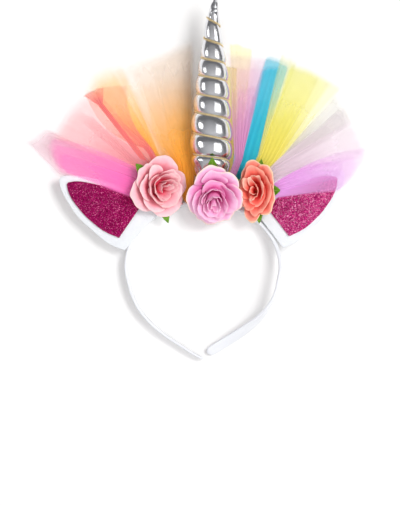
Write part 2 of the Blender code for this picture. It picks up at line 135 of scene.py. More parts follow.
# %% Room
ROOM_DARK = (0.17, 0.17, 0.175)
ROOM_BRIGHT = (0.62, 0.62, 0.63)
ROOM_BRIGHT_SIDE = (0.0, -0.6, 0.8)
ROOM_DARK_UNTIL = 0.3

room = bpy.data.worlds.new("room")
room.use_nodes = True
room_nodes, room_links = room.node_tree.nodes, room.node_tree.links
direction = room_nodes.new("ShaderNodeTexCoord")
toward = room_nodes.new("ShaderNodeVectorMath")
toward.operation = "DOT_PRODUCT"
toward.inputs[1].default_value = ROOM_BRIGHT_SIDE
shade = room_nodes.new("ShaderNodeValToRGB")
shade.color_ramp.elements[0].position = ROOM_DARK_UNTIL
shade.color_ramp.elements[0].color = (*ROOM_DARK, 1.0)
shade.color_ramp.elements[1].color = (*ROOM_BRIGHT, 1.0)
room_links.new(direction.outputs["Generated"], toward.inputs[0])
room_links.new(toward.outputs["Value"], shade.inputs[0])
room_links.new(shade.outputs[0], room_nodes["Background"].inputs["Color"])
bpy.context.scene.world = room
bpy.context.scene.view_settings.view_transform = "Standard"
print("room from", ROOM_DARK, "to", ROOM_BRIGHT)

# %% [markdown]
# A finish is a small graph of nodes around one Principled shader. Writing node links by hand is
# long, so two small classes take it over. A Signal is one socket, and adding or multiplying
# signals adds the Math node that does so. A Finish adds any other node in one call.

# %% Signals
class Signal:
    """A number or colour on its way through a material."""

    def __init__(self, finish, socket):
        self.finish = finish
        self.socket = socket

    def maths(self, operation, first, second=0.0):
        return self.finish.node("ShaderNodeMath", {"operation": operation}, {0: first, 1: second})

    def __add__(self, other):
        return self.maths("ADD", self, other)

    def __sub__(self, other):
        return self.maths("SUBTRACT", self, other)

    def __rsub__(self, other):
        return self.maths("SUBTRACT", other, self)

    def __mul__(self, other):
        return self.maths("MULTIPLY", self, other)

    def __rpow__(self, other):
        return self.maths("POWER", other, self)

    __radd__ = __add__
    __rmul__ = __mul__

    def clipped(self):
        return self.maths("MINIMUM", self.maths("MAXIMUM", self, 0.0), 1.0)

    def step(self, start, stop):
        """0 below start, 1 above stop, and a smooth slope between them."""
        values = {"Value": self, "From Min": start, "From Max": stop}
        return self.finish.node("ShaderNodeMapRange", {"interpolation_type": "SMOOTHSTEP"}, values)


print("signal operators", [name for name in vars(Signal) if not name.startswith("__")])


# %% Finishes
class Finish:
    """A material that is built up node by node."""

    def __init__(self, name, **constants):
        self.material = bpy.data.materials.new(name)
        self.material.use_nodes = True
        self.nodes = self.material.node_tree.nodes
        self.links = self.material.node_tree.links
        self.shader = self.nodes["Principled BSDF"]
        for socket, value in constants.items():
            self.set(socket.replace("_", " "), value)

    def feed(self, socket, value):
        if isinstance(value, Signal):
            self.links.new(value.socket, socket)
        elif isinstance(value, tuple) and len(value) == 3 and len(socket.default_value) == 4:
            socket.default_value = (*value, 1.0)
        else:
            socket.default_value = value

    def set(self, socket, value):
        self.feed(self.shader.inputs[socket], value)

    def node(self, kind, settings, inputs, out=0):
        made = self.nodes.new(kind)
        for key, value in settings.items():
            if key == "stops":
                self.set_stops(made.color_ramp, value)
            else:
                setattr(made, key, value)
        for key, value in inputs.items():
            self.feed(made.inputs[key], value)
        return Signal(self, made.outputs[out])

    def set_stops(self, ramp, stops):
        while len(ramp.elements) < len(stops):
            ramp.elements.new(0.5)
        for element, (place, colour) in zip(ramp.elements, stops):
            element.position = place
            element.color = (*colour, 1.0)

    def place(self):
        return self.node("ShaderNodeTexCoord", {}, {}, "Object")

    def cloth(self):
        """The two coordinates that run across and along a piece's own surface."""
        uv = self.node("ShaderNodeUVMap", {"uv_map": "Cloth"}, {})
        split = self.nodes.new("ShaderNodeSeparateXYZ")
        self.feed(split.inputs[0], uv)
        return Signal(self, split.outputs[0]), Signal(self, split.outputs[1])

    def noise(self, vector, scale, detail=2.0, roughness=0.5, out=0):
        values = {"Vector": vector, "Scale": scale, "Detail": detail, "Roughness": roughness}
        return self.node("ShaderNodeTexNoise", {}, values, out)

    def joined(self, x, y, z=0.0):
        return self.node("ShaderNodeCombineXYZ", {}, {0: x, 1: y, 2: z})

    def ramp(self, amount, *stops):
        return self.node("ShaderNodeValToRGB", {"stops": stops}, {0: amount})

    def mix(self, amount, first, second, kind="MIX"):
        settings = {"data_type": "RGBA", "blend_type": kind}
        return self.node("ShaderNodeMix", settings, {0: amount, 6: first, 7: second}, 2)

    def relief(self, height, distance, strength=1.0):
        """Raises or sinks the surface by a pattern, in metres."""
        values = {"Height": height, "Distance": distance, "Strength": strength}
        self.set("Normal", self.node("ShaderNodeBump", {}, values))


print("finish tools", [name for name in vars(Finish) if not name.startswith("__")])

# %% [markdown]
# Thin and soft pieces are sheets of points: a grid for a petal or a strip of net, and a grid
# closed into a tube for a cord. One function turns such grids into a mesh. Its map, named Cloth,
# runs from 0 to 1 across and along each grid, so a finish can follow the surface.

# %% Grids of points into a mesh
def grid_mesh(name, grids, closed=False):
    """Joins grids of points, each (rows, columns, xyz) in millimetres, into one object."""
    points, faces, map_corners = [], [], []
    start = 0
    for grid in grids:
        rows, columns = grid.shape[:2]
        points.append(grid.reshape(-1, 3))
        row, column = np.mgrid[0 : rows - 1, 0 : columns if closed else columns - 1]
        row, column = row.ravel(), column.ravel()
        corners = ((row, column), (row, column + 1), (row + 1, column + 1), (row + 1, column))
        quads = [start + r * columns + c % columns for r, c in corners]
        faces.append(np.stack(quads, axis=1))
        across = columns if closed else columns - 1
        place = [np.stack((c / across, r / (rows - 1)), axis=1) for r, c in corners]
        map_corners.append(np.stack(place, axis=1).reshape(-1, 2))
        start += rows * columns
    mesh = bpy.data.meshes.new(name)
    mesh.from_pydata(in_frame(np.concatenate(points)), [], np.concatenate(faces).tolist())
    cloth_map = mesh.uv_layers.new(name="Cloth")
    cloth_map.data.foreach_set("uv", np.concatenate(map_corners).ravel())
    mesh.shade_smooth()
    made = bpy.data.objects.new(name, mesh)
    bpy.context.scene.collection.objects.link(made)
    return made


print("map", "Cloth")


# %% Selecting, turning faces and applying modifiers
def only(piece):
    """Selects one piece and nothing else, as a click in the viewport does."""
    bpy.ops.object.select_all(action="DESELECT")
    piece.select_set(True)
    bpy.context.view_layer.objects.active = piece


def face_outward(piece):
    """Turns every face of a closed piece to look out of it."""
    only(piece)
    bpy.ops.object.mode_set(mode="EDIT")
    bpy.ops.mesh.select_all(action="SELECT")
    bpy.ops.mesh.normals_make_consistent(inside=False)
    bpy.ops.object.mode_set(mode="OBJECT")


def apply_modifier(piece, kind, **settings):
    only(piece)
    modifier = piece.modifiers.new(kind.title(), kind)
    for key, value in settings.items():
        setattr(modifier, key, value)
    bpy.ops.object.modifier_apply(modifier=modifier.name)


# %% Smooth curves and smooth noise
def smooth_table(rows, key, value, at):
    """A smooth curve through two columns of a table, read at many places at once."""
    table = np.array(rows, float)
    x, y = table[:, key], table[:, value]
    slope = np.gradient(y, x)
    at = np.clip(at, x[0], x[-1])
    low = np.clip(np.searchsorted(x, at, side="right") - 1, 0, len(x) - 2)
    gap = x[low + 1] - x[low]
    t = (at - x[low]) / gap
    start = y[low] * (1 + 2 * t) * (1 - t) ** 2 + slope[low] * gap * t * (1 - t) ** 2
    stop = y[low + 1] * t**2 * (3 - 2 * t) + slope[low + 1] * gap * t**2 * (t - 1)
    return start + stop


def wobble(points, size, seed=0.0):
    """Smooth noise from -1 to 1 at each point, with hills about as wide as size."""
    flat = np.asarray(points, float).reshape(-1, 3) / size + seed
    values = np.array([noise.noise(Vector(point)) for point in flat])
    return values.reshape(np.asarray(points).shape[:-1])


print("noise at one place", round(float(wobble((1.0, 2.0, 3.0), 5.0)), 3))


# %% Finish, body and solid of a piece
def finish_piece(piece, material, slot, *nodes):
    """Gives a piece its material, hangs it on the root body and hides the solids that it stands for."""
    piece.data.materials.clear()
    piece.data.materials.append(material)
    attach(piece, "root")
    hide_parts(*nodes)
    triangles = sum(len(face.vertices) - 2 for face in piece.data.polygons)
    print(piece.name, triangles, "triangles")


print("solids to replace", len(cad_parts))

# %% [markdown]
# The horn is a cone of silver foil cloth, stuffed firmly and bound in a spiral by a gold cord.
# Each turn of cord draws the foil in, so the stuffing bulges between the turns as a row of
# pillows. A lathe shape would lose the spiral, so a sphere's rings are drawn out along the horn
# and each point moves in or out by how far it is from the cord. It leans up towards its tip.

# %% Horn sizes
HornRow = namedtuple("HornRow", "y x z radius")
HORN = (
    HornRow(54.1, 6.6, 6.6, 5.2),
    HornRow(60.0, 6.6, 9.3, 7.6),
    HornRow(68.0, 6.6, 12.8, 10.6),
    HornRow(76.0, 6.6, 15.6, 13.6),
    HornRow(86.0, 6.6, 17.4, 16.2),
    HornRow(98.0, 6.7, 18.4, 17.2),
    HornRow(110.0, 6.8, 18.8, 16.8),
    HornRow(124.0, 7.0, 19.4, 15.6),
    HornRow(138.0, 7.3, 20.8, 14.2),
    HornRow(152.0, 7.6, 22.4, 12.7),
    HornRow(166.0, 7.7, 24.0, 10.6),
    HornRow(180.0, 7.6, 25.8, 8.0),
    HornRow(195.0, 7.7, 27.6, 5.6),
    HornRow(208.0, 9.0, 28.8, 3.0),
    HornRow(217.0, 10.4, 29.6, 0.9),
)
print("horn rows", len(HORN))

# %% Turns of the cord
# Heights at which the cord crosses the horn's left side and its right side, from the tip down
Winding = namedtuple("Winding", "left right")
WINDINGS = (
    Winding(198.9, 191.6),
    Winding(182.4, 175.8),
    Winding(167.0, 161.6),
    Winding(153.4, 147.4),
    Winding(138.6, 132.4),
    Winding(124.2, 116.8),
    Winding(107.6, 99.6),
    Winding(90.4, 84.6),
)
CROSSINGS = np.array([height for winding in WINDINGS for height in winding])
HALF_TURNS = np.arange(len(CROSSINGS)) / 2


def turn_at(height):
    """Turns of cord above a height; past both ends the last slope goes on."""
    inside = np.interp(height, CROSSINGS[::-1], HALF_TURNS[::-1])
    above = (height - CROSSINGS[0]) / (CROSSINGS[0] - CROSSINGS[1]) / 2
    below = (CROSSINGS[-1] - height) / (CROSSINGS[-2] - CROSSINGS[-1]) / 2
    return inside - np.maximum(above, 0) + np.maximum(below, 0)


def height_at(turn):
    return np.interp(turn, HALF_TURNS, CROSSINGS)


def horn_point(height, bearing, radius):
    """Bearing 0 is the horn's left side, and a quarter turn on it is over the top."""
    x = smooth_table(HORN, 0, 1, height) - radius * np.cos(bearing)
    z = smooth_table(HORN, 0, 2, height) + radius * np.sin(bearing)
    return np.stack((x, height + 0 * x, z), axis=-1)


print("cord turns", HALF_TURNS[-1])

# %% Horn shape
HORN_SIDES = 112
HORN_RINGS = 420
PINCH = 0.21
PILLOW_SHAPE = 2.0
PUCKER = 0.35
PUCKERS_WIDE = 12
PUCKERS_FINE = 27
BOUND_FROM = CROSSINGS[-1] - 6
BOUND_TO = 205
BOUND_FADE = (6, 8)
NECK_LENGTH = 16
NECK_FOLDS = 6.5
NECK_FOLD_DEPTH = 1.1
SKIN_WOBBLE = 0.3
SKIN_WOBBLE_SIZE = 12.0
TIP_CRUMPLE = 0.45
TIP_CRUMPLE_SIZE = 2.4
TIP_CRUMPLE_FROM = 196
SLIM = 8


def puffed_radius(height, bearing):
    """The crest radius, drawn in to the cord between two pillows, with small puckers there."""
    crest = smooth_table(HORN, 0, 3, height)
    bound = np.clip((height - BOUND_FROM) / BOUND_FADE[0], 0, 1)
    bound = bound * np.clip((BOUND_TO - height) / BOUND_FADE[1], 0, 1)
    phase = turn_at(height) - bearing / math.tau
    across = 2 * np.abs(phase - np.floor(phase) - 0.5)
    pillow = np.sqrt(np.clip(1 - across**PILLOW_SHAPE, 0, 1))
    radius = crest * (1 - PINCH * (1 - pillow) * bound)
    around = np.stack((np.cos(bearing), np.sin(bearing), np.floor(phase) * 1.7 / 3), axis=-1)
    wide, fine = wobble(around * PUCKERS_WIDE, 1.0, 3.3), wobble(around * PUCKERS_FINE, 1.0, 8.1)
    pucker = np.abs(wide) + 0.6 * np.abs(fine)
    return radius - PUCKER * pucker * across**5 * bound * np.clip(crest / SLIM, 0.2, 1)


def gathered_neck(height, bearing):
    """Below the last turn the foil is drawn together in sharp lengthwise folds."""
    low = np.clip((CROSSINGS[-1] - height) / NECK_LENGTH, 0, 1)
    folds = np.abs(np.sin(bearing * NECK_FOLDS + 1.4 * np.sin(bearing * 2 + height / 7)))
    return NECK_FOLD_DEPTH * low * (folds - 0.6)


bpy.ops.object.select_all(action="DESELECT")
bpy.ops.mesh.primitive_uv_sphere_add(segments=HORN_SIDES, ring_count=HORN_RINGS, radius=1.0)
horn = bpy.context.object
horn.name = "horn_foil"
start = np.empty(len(horn.data.vertices) * 3)
horn.data.vertices.foreach_get("co", start)
start = start.reshape(-1, 3)
ring = np.round(np.arccos(np.clip(start[:, 2], -1, 1)) / math.pi * HORN_RINGS)
bearing = np.arctan2(start[:, 1], start[:, 0])
height = HORN[-1].y - (HORN[-1].y - HORN[0].y) * np.minimum(ring / (HORN_RINGS - 1), 1)
radius = puffed_radius(height, bearing) + gathered_neck(height, bearing)
soft = horn_point(height, bearing, radius)
radius += SKIN_WOBBLE * wobble(soft, SKIN_WOBBLE_SIZE) * np.clip(radius / SLIM, 0, 1)
near_tip = np.clip((height - TIP_CRUMPLE_FROM) / 8, 0, 1)
radius += TIP_CRUMPLE * wobble(soft, TIP_CRUMPLE_SIZE, 9.0) * near_tip
radius[(ring == 0) | (ring == HORN_RINGS)] = 0
shape = horn_point(height, bearing, radius)
shape[ring == 0, 1] += HORN[-1].radius
horn.data.vertices.foreach_set("co", in_frame(shape).ravel())
face_outward(horn)
bpy.ops.object.shade_smooth()
print("horn length", round(float(np.ptp(shape[:, 1])), 1), "mm")

# %% [markdown]
# Foil cloth is a mirror that is a little soft, so it is metal with low roughness. The plastic
# film has fine crazing and faint scratches, which break the highlights up, and its roughness
# wanders slowly from place to place.

# %% Silver foil cloth
silver = Finish("silver_foil_cloth", Metallic=1.0, Coat_Weight=0.25, Coat_Roughness=0.08)
spot = silver.place()
cloud = silver.noise(spot, 90, 3)
crease = silver.noise(spot, 420, 4, 0.6)
speck = silver.node("ShaderNodeTexVoronoi", {"feature": "DISTANCE_TO_EDGE"}, {"Vector": spot, "Scale": 700})
silver.set("Base Color", silver.mix(cloud, (0.70, 0.70, 0.73), (0.90, 0.90, 0.92)))
silver.set("Roughness", 0.10 + 0.16 * cloud)
silver.relief(crease + 0.25 * speck, 0.0001)
finish_piece(horn, silver.material, "silver_foil_cloth", "horn")

# %% [markdown]
# The cord is two plies of gold thread twisted together. Each ply is a tube that circles the
# cord's own path once every few millimetres. The path is the spiral in the valley between the
# pillows, so both use the same winding table.

# %% Gold cord in two plies
PLY_RADIUS = 0.30
PLY_PITCH = 2.4
PLY_SIDES = 6
PLY_OVERLAP = 1.15
STEPS_PER_TWIST = 8
CORD_CLEARANCE = 1.0
HORN_LEAN = (0.0, 0.93, 0.37)
CLOSED_END = 0.05


def cord_path(turn):
    height = height_at(turn)
    seat = smooth_table(HORN, 0, 3, height) * (1 - PINCH)
    return horn_point(height, turn * math.tau, seat + CORD_CLEARANCE)


def tube(path, sides, radius):
    """Rings of points round a path, closed at both ends by a ring of no size."""
    along = np.gradient(path, axis=0)
    along /= np.linalg.norm(along, axis=1)[:, None]
    side = np.cross(along, HORN_LEAN)
    side /= np.linalg.norm(side, axis=1)[:, None]
    up = np.cross(side, along)
    angle = np.linspace(0, math.tau, sides, endpoint=False)[None, :, None]
    ring = np.cos(angle) * side[:, None] + np.sin(angle) * up[:, None]
    size = np.full(len(path), radius)
    size[[0, -1]] = radius * CLOSED_END
    return path[:, None] + size[:, None, None] * ring


rough_turns = np.linspace(0, HALF_TURNS[-1], 2000)
rough_path = cord_path(rough_turns)
run = np.concatenate(([0], np.cumsum(np.linalg.norm(np.diff(rough_path, axis=0), axis=1))))
cord_length = run[-1]
steps = round(cord_length / PLY_PITCH * STEPS_PER_TWIST)
turns = np.interp(np.linspace(0, cord_length, steps), run, rough_turns)
centre = cord_path(turns)
ring_round = tube(centre, STEPS_PER_TWIST, PLY_RADIUS)
plies = []
for ply in (0, STEPS_PER_TWIST // 2):
    place = (np.arange(steps) + ply) % STEPS_PER_TWIST
    plies.append(tube(ring_round[np.arange(steps), place], PLY_SIDES, PLY_RADIUS * PLY_OVERLAP))
gold_cord = grid_mesh("horn_gold_cord", plies, closed=True)
face_outward(gold_cord)
print("gold cord", round(cord_length), "mm long")

# %% Gold thread
gold = Finish("gold_thread", Metallic=0.7, Roughness=0.38)
spot = gold.place()
gold.set("Base Color", gold.mix(gold.noise(spot, 900, 2), (0.88, 0.66, 0.32), (1.0, 0.88, 0.58)))
gold.relief(gold.noise(spot, 3500, 2), 0.00012)
finish_piece(gold_cord, gold.material, "gold_cord", "horn_cord")

# %% [markdown]
# The hair band is a springy plastic strip, wrapped tightly in white satin. Its section is a
# rounded rectangle, 11 mm wide and 3 mm thick, standing on its edge. It narrows towards the
# tips, and the right arm turns over so that its broad face shows. A path with a radius and a
# tilt at each point does all that, and a second small curve is its section.

# %% Band path and section
BAND_WIDTH = 11.0
BAND_THICKNESS = 3.0
BandRow = namedtuple("BandRow", "x y lift size twist")
LEFT_ARM = (
    BandRow(-60.2, -10.0, 0.0, 1.00, 0),
    BandRow(-56.6, -22.8, 0.0, 0.97, 0),
    BandRow(-50.4, -35.0, 0.0, 0.93, 0),
    BandRow(-41.3, -45.6, 0.0, 0.88, 0),
    BandRow(-30.2, -54.8, 0.0, 0.83, 0),
    BandRow(-17.6, -63.2, 0.0, 0.78, 0),
    BandRow(-8.0, -69.4, 0.0, 0.74, 0),
    BandRow(0.6, -74.0, 0.0, 0.66, 0),
)
RIGHT_ARM = (
    BandRow(60.5, -9.0, 12.5, 1.00, 0),
    BandRow(57.6, -21.5, 12.0, 0.98, 2),
    BandRow(52.2, -32.0, 10.4, 0.95, 10),
    BandRow(44.6, -41.2, 7.6, 0.91, 26),
    BandRow(33.6, -50.0, 4.4, 0.86, 44),
    BandRow(20.0, -59.0, 1.6, 0.81, 56),
    BandRow(10.0, -65.2, 0.4, 0.77, 60),
    BandRow(3.4, -69.2, 0.0, 0.70, 60),
)
ARCH_HALF_WIDTH = 61.7
ARCH_HEIGHT = 52.1
ARCH_LIFT = 11.0
ARCH_LIFT_CURVE = 3.2
RINGS_BETWEEN_ROWS = 8


def arch_lift(degrees):
    return ARCH_LIFT * max(0.0, 1 - degrees / 90) ** ARCH_LIFT_CURVE


arch = []
for degrees in range(180, -1, -12):
    angle = math.radians(degrees)
    x, y = ARCH_HALF_WIDTH * math.cos(angle), ARCH_HEIGHT * math.sin(angle)
    arch.append(BandRow(x, y, arch_lift(degrees), 1.0, 0.0))
band_rows = [*reversed(LEFT_ARM), *arch, *RIGHT_ARM]
numbered = [(index, *row) for index, row in enumerate(band_rows)]
at = np.linspace(0, len(band_rows) - 1, (len(band_rows) - 1) * RINGS_BETWEEN_ROWS + 1)
band_x, band_y, band_lift, band_size, band_twist = (
    smooth_table(numbered, 0, column, at) for column in range(1, 6)
)
print("band rings", len(at))

# %% [markdown]
# Satin is wrapped round the strip, so its section is never perfectly even. Faint ripples run
# along it, stronger at the right tip, where the ribbon's end is folded in and glued. The tips
# are rounded by closing the last rings like the end of a finger.

# %% Band skin
SECTION_POINTS = 36
SECTION_POWER = 4.5
TIP_ROUNDING = 4.0
RIPPLE_DEPTH = 0.10
RIPPLES_AROUND = 5
RIPPLE_STRETCH = 45
RIPPLE_LEAST = 0.15

turn = np.linspace(0, math.tau, SECTION_POINTS, endpoint=False)
cosine, sine = np.cos(turn), np.sin(turn)
section_u = np.sign(cosine) * np.abs(cosine) ** (2 / SECTION_POWER) * BAND_THICKNESS / 2
section_v = np.sign(sine) * np.abs(sine) ** (2 / SECTION_POWER) * BAND_WIDTH / 2
twist = np.radians(band_twist)
along = np.stack((np.gradient(band_x), np.gradient(band_y), 0 * band_x), axis=1)
along /= np.linalg.norm(along, axis=1)[:, None]
outward = np.stack((-along[:, 1], along[:, 0], 0 * band_x), axis=1)
up = np.array([0.0, 0.0, 1.0])
face = outward * np.cos(twist)[:, None] + up * np.sin(twist)[:, None]
edge = up * np.cos(twist)[:, None] - outward * np.sin(twist)[:, None]
reach_down = band_size * (BAND_WIDTH / 2 * np.cos(twist) + BAND_THICKNESS / 2 * np.sin(twist))
middle = np.stack((band_x, band_y, band_lift + reach_down), axis=1)
travel = np.concatenate(([0], np.cumsum(np.linalg.norm(np.diff(middle, axis=0), axis=1))))
from_tip = np.minimum(travel, travel[-1] - travel)
closing = np.sqrt(np.clip(1 - (1 - np.minimum(from_tip / TIP_ROUNDING, 1)) ** 2, 0.0004, 1))
near_fold = np.clip(1 - (travel[-1] - travel) / RIPPLE_STRETCH, RIPPLE_LEAST, 1)
ripple = RIPPLE_DEPTH * np.sin(turn * RIPPLES_AROUND)[None] * near_fold[:, None]
thick = (section_u[None] * (1 + ripple / 1.5)) * (band_size * closing)[:, None]
wide = section_v[None] * (band_size * closing)[:, None]
band_grid = middle[:, None] + face[:, None] * thick[..., None] + edge[:, None] * wide[..., None]
band = grid_mesh("satin_band", [band_grid], closed=True)
face_outward(band)
print("band length", round(float(travel[-1])), "mm")

# %% [markdown]
# Satin has long floating threads that all run one way, so it is smooth along them and shines in
# a soft band across them. Thin wound threads are drawn as a fine bump along the band, with slow
# unevenness where the ribbon was pulled tighter.

# %% White satin
satin = Finish("white_satin", Sheen_Weight=0.35, Sheen_Roughness=0.35, Anisotropic=0.4)
around, length = satin.cloth()
band_length = float(travel[-1])
threads = satin.noise(satin.joined(around * 90, length * band_length * 0.25), 1.0, 2)
pulls = satin.noise(satin.joined(around * 5, length * band_length * 0.05), 1.0, 2)
satin.set("Base Color", satin.mix(pulls, (0.76, 0.78, 0.83), (0.87, 0.88, 0.91)))
satin.set("Roughness", 0.28 + 0.18 * threads)
satin.relief(0.35 * threads + pulls, 0.0004, 0.6)
finish_piece(band, satin.material, "white_satin", "hair_band")

# %% [markdown]
# Each ear is a leaf of thick white felt with a smaller leaf of magenta glitter cloth glued on
# it. The solids already have the right outlines. A copy of each is merged into whole faces and
# its rim is rounded. The left ear's base runs on under the rose, so the corner there is drawn
# out a little, and no gap shows between the ear and the petals.

# %% Ear plates
FLAT_WITHIN = math.radians(4)
RIM_SHARPER_THAN = math.radians(60)
SHARP_EDGE = math.radians(50)
LEFT_EAR_BASE = (-60.0, 33.6, 0)
LEFT_EAR_HEADING = 145.5
CORNER_LENGTH = 46
CORNER_BLEND = 10
CORNER_CURVE = 1.3


def soft_copy(node, name, rounding):
    """A copy of a flat solid with whole faces and a rounded rim."""
    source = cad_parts[node]
    only(source)
    bpy.ops.object.duplicate(linked=False)
    piece = bpy.context.object
    piece.name = name
    piece.data.name = name
    for key in [key for key in piece.keys() if key.startswith("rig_")]:
        del piece[key]
    piece.parent = None
    bpy.ops.object.mode_set(mode="EDIT")
    bpy.ops.mesh.select_all(action="SELECT")
    bpy.ops.mesh.remove_doubles(threshold=1e-6)
    bpy.ops.mesh.dissolve_limited(angle_limit=FLAT_WITHIN)
    bpy.ops.mesh.select_all(action="DESELECT")
    bpy.ops.object.mode_set(mode="OBJECT")
    apply_modifier(
        piece,
        "BEVEL",
        width=rounding * MM,
        segments=3,
        limit_method="ANGLE",
        angle_limit=RIM_SHARPER_THAN,
    )
    apply_modifier(piece, "TRIANGULATE", min_vertices=5)
    only(piece)
    bpy.ops.object.shade_smooth_by_angle(angle=SHARP_EDGE)
    return piece


def draw_out_corner(piece, wider, longer):
    """Draws out the base corner of a left ear's leaf, on the side that the rose covers."""
    angle = math.radians(LEFT_EAR_HEADING)
    heading = Vector((math.cos(angle), math.sin(angle), 0))
    upper_side = Vector((heading.y, -heading.x, 0))
    for vertex in piece.data.vertices:
        place = (vertex.co - Vector(in_frame(LEFT_EAR_BASE))) / MM
        near_base = min(max(1 - place.dot(heading) / CORNER_LENGTH, 0), 1) ** CORNER_CURVE
        weight = near_base * min(max(place.dot(upper_side) / CORNER_BLEND, 0), 1)
        vertex.co += (upper_side * wider - heading * longer) * weight * MM


print("ear plates", [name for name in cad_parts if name.startswith("ear_")])

# %% Soft copies of the ears
felt_pieces = []
glitter_pieces = []
for side in ("left", "right"):
    felt_pieces.append(soft_copy(f"ear_felt_{side}", f"felt_leaf_{side}", 0.55))
    glitter_pieces.append(soft_copy(f"ear_glitter_{side}", f"glitter_leaf_{side}", 0.3))
draw_out_corner(glitter_pieces[0], wider=9.5, longer=0.0)
draw_out_corner(felt_pieces[0], wider=5.0, longer=5.0)
print("ears", [len(piece.data.polygons) for piece in felt_pieces + glitter_pieces])

# %% [markdown]
# Felt is pressed fibre with no weave. Two sizes of noise give its matted face, and sheen gives
# the soft light at its rim, where fibres stand out. Glitter cloth is a field of tiny flakes,
# each lying at its own angle. A cell pattern gives each flake one colour and one tilt. The
# palest flakes are painted glints, a light pink that stands in for flakes catching the light.
# Both ears are one cloth. The right ear's copy is painted lighter, with more painted glints,
# as painted light on the side towards the lamps, and the left ear's copy is painted shade.

felt = Finish("white_felt", Roughness=0.95, Sheen_Weight=0.5, Sheen_Roughness=0.6)
spot = felt.place()
fibres = felt.noise(spot, 2600, 4, 0.7)
mats = felt.noise(spot, 260, 3, 0.6)
felt.set("Base Color", felt.mix(mats, (0.80, 0.83, 0.87), (0.88, 0.90, 0.93)))
felt.relief(fibres + mats, 0.0005, 0.8)


def glitter_finish(name, dark, light, painted_glint, painted_glints_from, tilt_share):
    made = Finish(name)
    spot = made.place()
    flakes = {"Vector": spot, "Scale": 2400.0, "Randomness": 1.0}
    random = made.node("ShaderNodeTexVoronoi", {"feature": "F1"}, flakes, "Color")
    split = made.nodes.new("ShaderNodeSeparateColor")
    made.feed(split.inputs[0], random)
    hue, shine = Signal(made, split.outputs[0]), Signal(made, split.outputs[1])
    # The palest flakes get a painted glint colour, a light pink that stands in for light caught by the
    # flake.
    made.set("Base Color", made.ramp(hue, (0.0, dark), (0.60, light), (painted_glints_from, light), (0.99, painted_glint)))
    made.set("Metallic", 0.55 + 0.4 * shine)
    made.set("Roughness", 0.25 + 0.4 * shine)
    centred = made.node("ShaderNodeVectorMath", {"operation": "SUBTRACT"}, {0: random, 1: (0.5, 0.5, 0.5)})
    tilt = made.node("ShaderNodeVectorMath", {"operation": "SCALE"}, {0: centred, "Scale": tilt_share})
    facing = made.node("ShaderNodeNewGeometry", {}, {}, "Normal")
    leaning = made.node("ShaderNodeVectorMath", {"operation": "ADD"}, {0: facing, 1: tilt})
    made.set("Normal", made.node("ShaderNodeVectorMath", {"operation": "NORMALIZE"}, {0: leaning}))
    return made


# Lit and shaded copies of one glitter cloth: the right ear's is painted brighter with more painted glints,
# and the left ear's is painted darker, for how the light falls on each side.
shaded_and_lit_glitters = (
    glitter_finish("glitter_left", (0.14, 0.0, 0.03), (0.50, 0.0, 0.14), (0.92, 0.22, 0.46), 0.88, 0.55),
    glitter_finish("glitter_right", (0.26, 0.0, 0.07), (0.82, 0.03, 0.27), (1.0, 0.42, 0.66), 0.74, 0.8),
)
for side, felt_leaf, glitter_leaf, glitter in zip(("left", "right"), felt_pieces, glitter_pieces, shaded_and_lit_glitters):
    finish_piece(felt_leaf, felt.material, "white_felt", f"ear_felt_{side}")
    finish_piece(glitter_leaf, glitter.material, "magenta_glitter", f"ear_glitter_{side}")
    for leaf, under in ((felt_leaf, "hair_band"), (glitter_leaf, felt_leaf)):
        area = sum(face.area for face in leaf.data.polygons) / 2

# %% [markdown]
# The tulle is fourteen strips of net. Each strip is folded over itself into layers, gathered
# tightly at the band and left to open as a fan. The net keeps its width, so its threads are
# crowded where it is gathered and thin out along the fan. A layer may cover only a part of its
# strip's fan, and where layers overlap the colour deepens. The mesh stores how crowded the
# threads are at each point, and the finish reads that.

# %% Tulle strips
Strip = namedtuple("Strip", "name root seat root_width gather_z end_z")
STRIPS = (
    Strip("hot_pink", 121.5, "edge", 5.5, 16.6, 16.8),
    Strip("blush", 131.0, "face", 9, 5.6, 2.8),
    Strip("rose", 114.5, "edge", 5.5, 13.0, 8.0),
    Strip("coral", 107.5, "edge", 5.5, 12.6, 8.6),
    Strip("peach", 118.0, "face", 7, 5.6, 2.4),
    Strip("orange", 100.0, "edge", 6, 12.2, 7.0),
    Strip("ivory", 104.0, "face", 8, 5.2, 2.2),
    Strip("lemon", 75.0, "face", 4, 4.6, 2.0),
    Strip("mauve", 76.0, "edge", 5.5, 12.4, 8.0),
    Strip("blue", 68.5, "face", 6, 5.2, 2.0),
    Strip("yellow", 69.0, "edge", 6, 12.6, 8.0),
    Strip("white", 60.0, "face", 7, 5.4, 2.2),
    Strip("pale_lilac", 62.0, "edge", 5.5, 13.0, 8.0),
    Strip("lilac", 55.5, "edge", 5, 17.8, 19.4),
)
print("strips of tulle", len(STRIPS))

